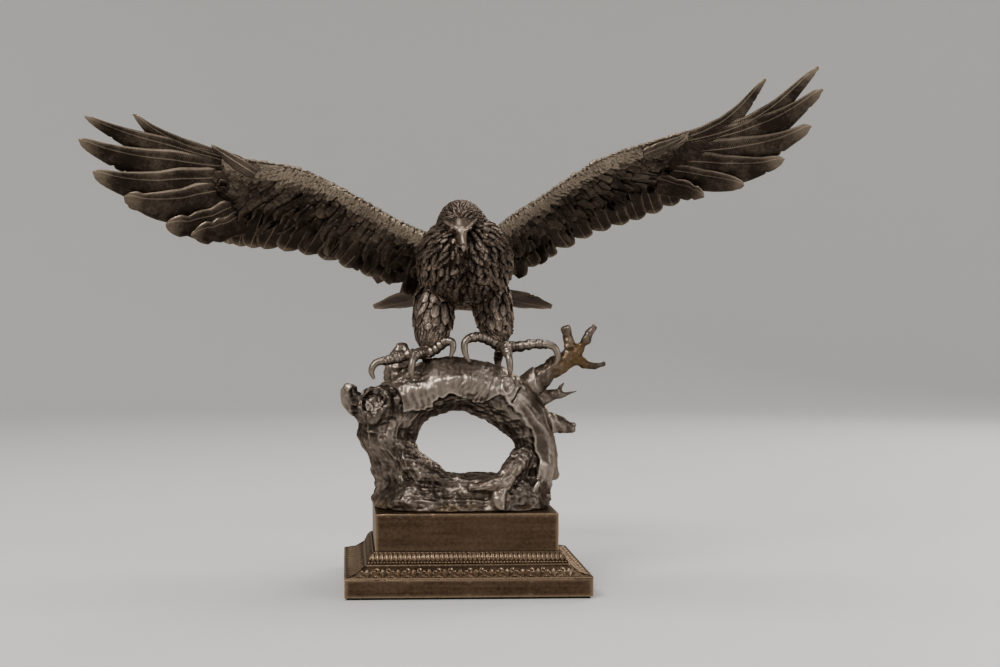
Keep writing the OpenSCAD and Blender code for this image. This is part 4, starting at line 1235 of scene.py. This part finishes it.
def build_log():
    whole = log_surface()
    bm = bmesh.new()
    bm.from_mesh(whole.data)
    bpy.data.objects.remove(whole)
    for spot, square, inside in CUTS.values():
        cut_plane(bm, np.array(spot) * MM, square, inside)
    bm.faces.ensure_lookup_table()
    label = casting_of(np.array([f.calc_center_median() for f in bm.faces]))
    for k, node in enumerate(LOG_NODES):
        part = bm.copy()
        part.faces.ensure_lookup_table()
        others = [f for f, owner in zip(part.faces, label) if owner != k]
        bmesh.ops.delete(part, geom=others, context="FACES")
        rim = [e for e in part.edges if e.is_boundary]
        for face in bmesh.ops.holes_fill(part, edges=rim, sides=0)["faces"]:
            face.smooth = False
            for e in face.edges:
                e.smooth = False
        bmesh.ops.triangulate(part, faces=[f for f in part.faces if len(f.verts) > 4])
        mesh = bpy.data.meshes.new(node + "_cast")
        part.to_mesh(mesh)
        part.free()
        piece(add_object(node + "_cast", mesh), node, "log_bronze")
    bm.free()


# ------------------------------------------------------------------ eagle

# Skull and beak in mm: each row is x, y, z, half width, half height
SKULL = [(0, -12, 253, 19, 17), (-1, -24, 260, 20.5, 19), (-3, -34, 266, 17, 17),
         (-4.5, -43, 267.5, 14, 14.5), (-5, -50, 265.5, 11, 12.5), (-5, -56, 262.5, 8, 9.5),
         (-5, -61, 259.5, 5.2, 6.8), (-5, -65, 257.5, 3.4, 4.5), (-5, -67, 256.5, 1.5, 2)]
BEAK = [(-4.8, -57, 261, 4.6, 5.5), (-4.8, -62, 259.5, 4.2, 5), (-4.6, -67.5, 256.5, 3.4, 4.4),
        (-4.3, -72, 252, 2.6, 3.3), (-4, -74.6, 247.5, 1.6, 2.1), (-3.8, -74.3, 244.6, 0.4, 0.6)]
LOWER_BEAK = [(-4.6, -54, 253, 4.5, 2.6), (-4.5, -61, 250.5, 3, 2), (-4.3, -66.5, 248.8, 1.7, 1.4),
              (-4.2, -70, 248, 0.6, 0.6)]
# Seen from the front, x and z in mm: brows from their outer ends in to the beak's root,
# then the ridges of the gape
BROWS = [((-18.5, 268.3), (-7, 259.6)), ((7.8, 269.5), (-1.6, 259.6))]
GAPES = [((-13.6, 256.4), (-6.6, 249.2)), ((4.2, 256.4), (-2, 249.2))]
EYES = np.array([[-11.9, 261.2], [2.2, 261.2]])
NOSTRILS = np.array([[-8.2, -65.5, 257.6], [-1.2, -65.5, 257.6]])
FACE = np.array([-5, -62, 259]) * MM  # feathers of the head lie away from it

# Toes in mm from the ankle to the last knuckle, each with the talon that follows it
FEET = {
    "foot_left": ((28, -11, 176), (27, -9, 185), [
        ([(20, -14, 181), (11, -17, 184), (2, -19, 182)],
         [(4, -18.5, 183), (0.5, -20, 179), (1, -21, 172), (4, -21.5, 165.5)]),
        ([(30, -17, 177), (31, -24, 175), (32, -29, 170)],
         [(31.6, -27, 172), (32.4, -31, 168), (33, -32, 161), (33, -29, 155)]),
        ([(40, -14, 176.5), (52, -17, 178.5), (63, -19, 178)],
         [(61, -18.5, 178.5), (67, -20, 176), (69.5, -20.5, 169.5), (67.5, -20, 163.5)]),
        ([(28, -6, 173), (27.2, -2, 169), (27, 0, 165)],
         [(27, -1, 168), (27, 0, 164), (27, 0, 160), (27, 0, 156)])]),
    "foot_right": ((-27, -11, 171), (-26.5, -9, 181), [
        ([(-38, -15, 171), (-50, -18, 168), (-61, -20, 166)],
         [(-59, -19.5, 166.5), (-65, -20, 164.5), (-68, -21, 159), (-66, -21, 153)]),
        ([(-31, -17, 172), (-35, -24, 171), (-37.5, -28, 168)],
         [(-37, -27, 169), (-38.5, -30, 165), (-39, -31, 159), (-38, -29, 153)]),
        ([(-20, -14, 175), (-14, -17, 180), (-10, -19, 181)],
         [(-12, -18.5, 181), (-8.5, -20, 180), (-8, -21, 175), (-10, -21, 169)]),
        ([(-26.5, -5, 169), (-26, -1, 166), (-26, 2, 163)],
         [(-26, 1, 165), (-26, 2, 162), (-26, 2, 160), (-26, 2, 157)])]),
}

# Wings in mm and degrees: leading edge from shoulder to hand, chord at three stations, tilt
WINGS = {
    "left": ([(24, 0, 262), (38, 6, 274), (60, 14, 288), (84, 21, 304), (108, 26, 318),
              (133, 29, 327), (154, 30, 333), (176, 30, 340)], (66, 81, 70), 46),
    "right": ([(-22, 0, 259), (-46, 9, 270), (-70, 16, 284), (-98, 22, 300), (-123, 26, 310),
               (-150, 28, 315), (-166, 29, 316), (-180, 30, 317)], (60, 80, 73), 38),
}
COVERT_SHARE = 0.56  # of the chord, covered by the panel
COVERT_GAP = 1.3  # half widths from one covert to the next
ARM_DEPTH = (9.5, 2.6)  # mm at the shoulder and at the hand
COVERT_LIFT = 2.0  # mm that the panel's far part stands off the secondaries
# Rows of coverts: share of the chord where they start, length and half width in mm
COVERTS = [(-0.02, 6, 1.5), (0.015, 6, 1.5), (0.06, 6, 1.6), (0.105, 6.2, 1.7),
           (0.15, 6.6, 1.8), (0.20, 7.5, 2.2), (0.26, 10, 4), (0.36, 14, 5.4), (0.49, 19, 6.4),
           (0.64, 25, 7.2), (0.82, 33, 7.8)]


def laid(surface, spots, ways, ups, length, rows=8):
    """Feather lines that start at spots and follow a surface, with their up directions."""
    ways = unit(ways - ups * dot(ways, ups)[:, None])
    u = np.linspace(0, 1, rows)
    line = spots[:, None] + ways[:, None] * (u * length[:, None])[..., None]
    base, up = surface.nearest(line.reshape(-1, 3))
    return base.reshape(line.shape), unit(0.5 * up.reshape(line.shape) + 0.5 * ups[:, None])


def tufts(soup, surface, flow, spacing, keep=None, stretch=1.9, broad=0.62, yaw=0.35, rows=8,
          glow=None, **shape):
    """Feathers scattered over a surface, lying along flow(points)."""
    spots, ups = surface.scatter(spacing, keep)
    gap = spacing(spots)
    ways = flow(spots)
    ways = unit(ways - ups * dot(ways, ups)[:, None])
    ways = ways + np.cross(ups, ways) * rng.normal(0, yaw, len(spots))[:, None]
    length = gap * stretch * rng.uniform(0.8, 1.2, len(spots))
    centre, up = laid(surface, spots, ways, ups, length, rows)
    rub = shape.pop("rub", 0.2)
    if glow is not None:
        rub = rub + glow(spots)[:, None, None]
    small_feathers(soup, centre, up, length, gap * broad, rub=rub, **shape)


def body_flow(p):
    """Direction the body feathers lie in: down the breast, back along belly and back, and
    apart from a furrow below the beak."""
    side = np.tanh((p[:, 0] + 3 * MM) / (12 * MM))
    breast = step_mm(0, -30, p[:, 1])
    shoulder = step_mm(250, 262, p[:, 2]) * step_mm(16, 28, np.abs(p[:, 0]))
    return np.stack([side * (0.35 * breast + 1.0 * shoulder), 0.75 + 0 * side,
                     -0.85 + 0.6 * shoulder], 1)


def skin(node, voxel, rounds, relief, deep=0.75, rub=0.05):
    """The surface of a CAD node, remeshed, smoothed in rounds and given fine relief: a Surface and
    its Soup. Its dark value, 0.75 unless given, paints shade on the skin between the feathers laid
    over it."""
    points, quads = remeshed(cad_mesh(node), (1) * voxel, rounds)
    points = points + normals(points, quads) * relief(points)[:, None]
    soup = Soup().add(points, quads, rub=rub, deep=deep, tone=0.0)
    return Surface(points, quads), soup


def build_body():
    surface, soup = skin("body", 1.2 * MM, 5,
                         relief=lambda p: (0.5 * fractal(p, 6, 101, 3) - 0.6) * MM)

    def glow(p):
        # Painted highlight on the upper body, and painted shade in the furrow below the beak
        furrow = bell_mm(p[:, 0] + 3.5 * MM, 5) * step_mm(-20, -44, p[:, 1])
        return 0.12 * step_mm(244, 262, p[:, 2]) - 0.3 * furrow

    def size(p):
        return lerp(6.0, 3.5, step_mm(12, -16, p[:, 1])) * MM

    tufts(soup, surface, body_flow, size, stretch=2.1, broad=0.66, yaw=0.3, lift=1.7 * MM,
          thick=0.8 * MM, point=0.75, deep=0.6, glow=glow, rub=0.05, rows=8)
    tufts(soup, surface, body_flow, even(9), stretch=1.0, broad=0.33, yaw=0.5,
          lift=2.4 * MM, thick=0.8 * MM, point=0.8, deep=0.4, rub=0.12)
    soup.cast("body", "eagle_bronze")


def even(mm):
    """The same spacing everywhere."""
    return lambda p: mm * MM + 0 * p[:, 0]


def build_thighs():
    for node, side in (("thigh_left", 1), ("thigh_right", -1)):
        def lines(p):
            slant = p[:, 2] + 0.9 * side * p[:, 0] + 0.5 * p[:, 1]
            comb = np.sin(slant * 2 * np.pi / (2.4 * MM) + 3 * noise(p, 9, 111))
            cuff = step_mm(204, 190, p[:, 2])
            return (0.28 * comb * cuff + 0.6 * fractal(p, 6, 112, 3) - 0.3) * MM

        def flow(p):
            return np.array([0.3 * side, -0.25, -1]) + 0 * p

        def upper(p):
            return step_mm(195, 201, p[:, 2])

        def lower(p):
            return step_mm(183, 187, p[:, 2]) * step_mm(203, 196, p[:, 2])

        surface, soup = skin(node, 0.75 * MM, 4, lines, deep=0.25, rub=0.36)
        tufts(soup, surface, flow, even(5.6), upper, stretch=2.2, broad=0.7, yaw=0.25,
              lift=1.5 * MM, thick=0.9 * MM, point=0.7, deep=0.6, rub=0.34, rows=10, cols=7)
        tufts(soup, surface, flow, even(3.2), lower, stretch=2.8, broad=0.5, yaw=0.3,
              lift=0.4 * MM, thick=0.8 * MM, point=0.9, deep=0.5, rub=0.36, rows=7)
        soup.cast(node, "eagle_bronze")


def beside(spots, line):
    """Along a line between two points of a plane, from 0 to 1, and the distance above it."""
    a, b = np.array(line)
    run = (b - a) / np.linalg.norm(b - a)
    square = np.array([-run[1], run[0]])
    square = square * np.sign(square[1])
    return (spots - a) @ run / np.linalg.norm(b - a), (spots - a) @ square


def face_relief(points):
    """How far the face moves forward, in mm, with its bright ridges, hollows and eyes."""
    spots = points[:, [0, 2]] / MM
    front = step_mm(-38, -46, points[:, 1])
    over = np.full(len(points), np.inf)
    crest, ridge = 0, 0
    for line in BROWS:
        share, above = beside(spots, line)
        over = np.minimum(over, above)
        crest = np.maximum(crest, bell(above - 0.5, 1.1) * smoothstep(-0.15, 0.15, share)
                           * smoothstep(1.12, 0.95, share))
    for line in GAPES:
        share, above = beside(spots, line)
        ridge = np.maximum(ridge, bell(above, 0.8) * smoothstep(-0.2, 0.1, share)
                           * smoothstep(1.15, 0.9, share))
    from_beak = np.abs(spots[:, 0] + 4.6) - 3.6
    under = (smoothstep(0.1, -1.6, over) * smoothstep(-9.5, -5, over)
             * smoothstep(0, 1.6, from_beak))
    eye = np.min([np.linalg.norm(spots - e, axis=1) for e in EYES], axis=0)
    ball = smoothstep(2.0, 1.2, eye)
    forward = front * (1.5 * crest - 2.6 * under + 0.9 * ridge + 2.0 * ball)
    return forward, front * crest, front * ridge, front * under, front * ball


def build_head():
    parts = [limb_mesh(SKULL, count=40, sides=32), limb_mesh(BEAK, ref=(0, 0.4, 1)),
             limb_mesh(LOWER_BEAK)]
    points, quads = remeshed(joined(*parts), (0.45) * MM, smooth=4)
    forward, crest, ridge, under, ball = face_relief(points)
    facing = normals(points, quads)
    push = unit(0.6 * facing + np.array([0, -0.4, 0]))
    y, z = points[:, 1], points[:, 2]
    beak = step_mm(-60, -65, y)
    mouth = bell_mm(z - lerp(252.2, 249.6, step_mm(-56, -68, y)) * MM, 0.5)
    mouth = mouth * step_mm(-52, -58, y)
    nostril = bell_mm(np.min([np.linalg.norm(points - n * MM, axis=1) for n in NOSTRILS],
                             axis=0), 0.9)
    fuzz = (1 - beak) * (0.30 * fractal(points, 1.8, 121, 2) + 0.3 * fractal(points, 5, 122, 2))
    height = fuzz - 0.6 * mouth - 0.6 * nostril
    points = points + (push * forward[:, None] + facing * height[:, None]) * MM
    points = relaxed(points, quads, 1)
    proud = cavity(points, quads, rounds=8) / MM
    rub = (0.16 + 0.34 * beak + 0.7 * crest + 0.4 * ridge + 0.8 * np.clip(proud, -0.3, 0.6)
           + 0.2 * ball)
    # Painted shade on the skin under the feathers, under the brows, in the mouth line and
    # nostrils, and where the surface lies sunk
    deep = (0.6 * (1 - face_mask(points)) + 0.25 * under * (1 - ball) + 0.8 * mouth
            + 0.5 * nostril + 1.2 * np.clip(-proud - 0.05, 0, 0.6))
    soup = Soup().add(points, quads, rub=rub, deep=deep, tone=0.0)

    def away(p):
        return (p - FACE) * [1, 1, 0.6] + np.array([0, 6, -5]) * MM

    def size(p):
        return lerp(1.8, 3.6, step_mm(-46, -14, p[:, 1])) * MM

    tufts(soup, Surface(points, quads), away, size, lambda p: 1 - face_mask(p), stretch=2.4,
          broad=0.52, yaw=0.35, lift=1.0 * MM, thick=0.7 * MM, point=0.85, deep=0.45, rub=0.16,
          rows=7)
    soup.cast("head", "eagle_bronze")


def face_mask(points):
    """1 on the bare face, beak and forehead triangle, and 0 where feathers grow."""
    x, y, z = points.T
    ragged = 1.2 * MM * noise(points, 2.5, 125)
    wide = step_mm(14, 12.5, np.abs(x + 5 * MM) + ragged + 0.25 * (269 * MM - z))
    return wide * step_mm(-43, -46, y) * step_mm(270, 268.5, z + ragged)


SCUTE_PITCH = 2.9 * MM
SHANK_BANDS = 13  # half waves along the shank
TALON_WIDTHS = (3.0, 2.7, 2.3, 1.1)


def wrinkled_toe(ankle, toe, phase):
    """The rings of one toe, with scutes across its top and knuckles, and its values."""
    path = [ankle, *toe]
    rows = [(*p, r, 1.08 * r) for p, r in zip(path, np.linspace(3.7, 3.0, len(path)))]
    rings = limb_rings(rows, count=72, sides=20, ref=(0.2, 0.3, 1))
    middle = rings.mean(1, keepdims=True)
    run = travel(middle[:, 0])
    pace = run / SCUTE_PITCH + 0.25 * np.sin(run * 700 + phase)
    scute = np.abs(np.sin(pace * np.pi))[:, None, None] ** 0.6
    up = unit(rings - middle) @ np.array([0, -0.3, 1.0])
    on_top = smoothstep(-0.5, 0.3, up)[..., None]
    share = (run / run[-1])[:, None, None]
    knuckle = 0.10 * np.cos(share * 5 * np.pi) ** 2
    rough = 0.2 * fractal(rings.reshape(-1, 3), 2.2, 131, 2).reshape(up.shape)[..., None]
    swell = 1 + 0.10 * (scute - 0.7) * on_top + knuckle + rough + 0.05 * (1 - on_top) * scute
    fade = np.sqrt(np.clip(1 - ((share - 0.93) / 0.09).clip(0) ** 2, 0.02, 1))
    # Rubbed bright on the scutes' tops; patina with painted shade between them, and painted shade
    # on the toe's underside
    glow = 0.35 + 0.45 * scute * on_top - 0.2 + 0.6 * rough
    deep = 0.75 * (1 - scute * on_top) ** 2
    return middle + (rings - middle) * swell * fade, glow[..., 0], deep[..., 0]


def build_feet():
    for node, (ankle, top, toes) in FEET.items():
        soup = Soup()
        low, high = np.array(ankle), np.array(top)
        rows = [(*high, 4.6, 4.6), (*lerp(low, high, 0.5), 4.2, 4.2), (*low, 4.7, 4.7),
                (*(low - [0, 1, 4]), 3.2, 3.2)]
        shank = limb_rings(rows, count=40, sides=24, ref=(0, 1, 0))
        band = np.sin(np.linspace(0, 1, len(shank)) * SHANK_BANDS * np.pi)[:, None, None]
        middle = shank.mean(1, keepdims=True)
        shank = middle + (shank - middle) * (1 + 0.09 * band)
        soup.tubes(shank[None], rub=(0.4 + 0.25 * band[..., 0])[None],
                   deep=(0.3 - 0.3 * band[..., 0])[None])
        for toe, talon in toes:
            rings, glow, deep = wrinkled_toe(ankle, toe, talon[0][0])
            soup.tubes(rings[None], rub=glow[None], deep=deep[None])
            rows = [(*p, r, 1.1 * r) for p, r in zip(talon, TALON_WIDTHS)]
            claw = limb_rings(rows, count=28, sides=16, ref=(0.2, 1, 0.1))
            soup.tubes(claw[None], rub=0.5, deep=0.1)
        soup.cast(node, "talon_bronze")


class Wing:
    """The arm and covert panel of one wing, by share of its span and of its chord."""

    def __init__(self, side):
        edge, self.chords, tilt = WINGS[side]
        self.edge = np.array(edge, float)
        tilt = math.radians(tilt)
        self.down = np.array([0, math.sin(tilt), -math.cos(tilt)])
        self.back = np.array([0, math.cos(tilt), math.sin(tilt)])
        self.span = np.linalg.norm(np.diff(self.edge, axis=0), axis=1).sum()

    def behind(self, points):
        """How far points lie behind the panel's plane."""
        x, y, z = np.moveaxis(points / MM, -1, 0)
        edge = self.edge[np.argsort(self.edge[:, 0])]
        drop = np.interp(x, edge[:, 0], edge[:, 2]) - z
        plane = np.interp(x, edge[:, 0], edge[:, 1]) - self.down[1] / self.down[2] * drop
        return (y - plane) * MM

    def place(self, s, x, face, loose=0.0):
        """Point in mm and outward direction at shares s and x, on the back (+1) or front;
        loose lifts the panel's far part off the secondaries."""
        first, middle, last = self.chords
        inside = np.clip(s, 0, 1)
        chord = COVERT_SHARE * (first * (1 - inside) * (1 - 2 * inside)
                                + middle * 4 * inside * (1 - inside)
                                + last * inside * (2 * inside - 1))
        taper = 1 - 3 * np.clip(s - 0.86, 0, 0.16)
        depth = lerp(*ARM_DEPTH, inside ** 0.8) * taper
        held = np.clip(x, 0, 1)
        sine = 2 * np.sqrt(held * (1 - held))
        height = depth * 0.55 * sine * (1.5 - 1.1 * held) * face
        height = height + face * (0.5 * (x > 1) + loose * smoothstep(0.35, 1.0, x))
        point = (curve(self.edge, s) + self.down * (chord * taper * x)[..., None]
                 + self.back * height[..., None])
        flat = (face * np.maximum(sine, 0.05) * chord / 2)[..., None]
        up = unit(-self.down * ((1 - 2 * held) * depth * 0.7)[..., None] + self.back * flat)
        return point, up, chord


def wing_panel(soup, wing):
    """The closed, slightly rough body of the arm, under its coverts."""
    rows, sides = 120, 48
    s = np.linspace(0, 1, rows)[:, None]
    q = 2 * np.pi * np.arange(sides)[None] / sides
    face = np.where(np.sin(q) >= 0, 1.0, -1.0) + 0 * s
    x = (1 - np.cos(q)) / 2 + 0 * s
    point, up, _ = wing.place(s + 0 * q, x, face)
    rings = (point - 0.8 * up) * MM
    rough = 0.35 * MM * fractal(rings.reshape(-1, 3), 5, 141, 3)
    # Painted highlight along the leading band, and painted shade on the rest, under the coverts
    soup.tubes((rings + up * rough.reshape(x.shape)[..., None])[None],
               rub=(0.45 * smoothstep(0.3, 0.12, x))[None],
               deep=(0.6 * smoothstep(0.1, 0.3, x))[None])


def covert_row(soup, wing, face, number, start, length, half):
    """One row of coverts on the back (+1) or front; the first rows are fine and carry a painted
    highlight.
    """
    count = int(wing.span / (COVERT_GAP * half))
    shift = 0.5 * (number % 2) + rng.uniform(-0.4, 0.4, count)
    spots = 0.01 + 0.97 * ((np.arange(count) + shift) / count)
    starts = start + rng.uniform(-0.025, 0.025, count)
    lead = smoothstep(0.30, 0.16, start)
    lean = lerp(14, 66, smoothstep(0.2, 0.95, spots)) + 18 * lead
    turn = np.radians(lean + rng.normal(0, lerp(6, 13, lead), count))
    reach = (length * rng.uniform(0.8, 1.2, count)
             * lerp(1, 0.85, smoothstep(0.7, 1, spots)))
    chord = wing.place(spots, starts, face)[2]
    rows, cols = (10, 7) if length > 9 else (6, 5)
    u = np.linspace(0, 1, rows)
    run_x = reach * np.cos(turn) / chord
    run_s = reach * np.sin(turn) / wing.span
    point, up, _ = wing.place(spots[:, None] + run_s[:, None] * u,
                              starts[:, None] + run_x[:, None] * u, face, COVERT_LIFT)
    # The leading rows carry a painted highlight; the later rows carry painted shade at their roots
    small_feathers(soup, point * MM, up, reach * MM, half * rng.uniform(0.88, 1.1, count) * MM,
                   lift=(0.35 + 0.006 * length) * MM, thick=lerp(0.6, 0.32, lead) * MM,
                   point=lerp(0.4, 0.2, start), rub=lerp(0.06, 0.62, lead), gain=0.4,
                   deep=lerp(0.35, 0.0, lead), cols=cols)


def build_wing_arm(side):
    wing = Wing(side)
    soup = Soup()
    wing_panel(soup, wing)
    for face in (-1.0, 1.0):
        for number, row in enumerate(COVERTS):
            covert_row(soup, wing, face, number, *row)
    soup.cast(f"wing_arm_{side}", "feather_bronze")


def build_eagle():
    build_body()
    build_thighs()
    build_head()
    build_feet()
    for side in WINGS:
        build_wing_arm(side)


build_camera()
build_lights()
build_stage()
build_plinth()
build_feathers()
build_log()
build_eagle()
for node in ("tie_rods", "tie_washers", "tie_nuts", "wing_dowels", "foot_pins"):
    coat(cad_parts[node], STEEL)
coat(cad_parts["felt_pad"], FELT)
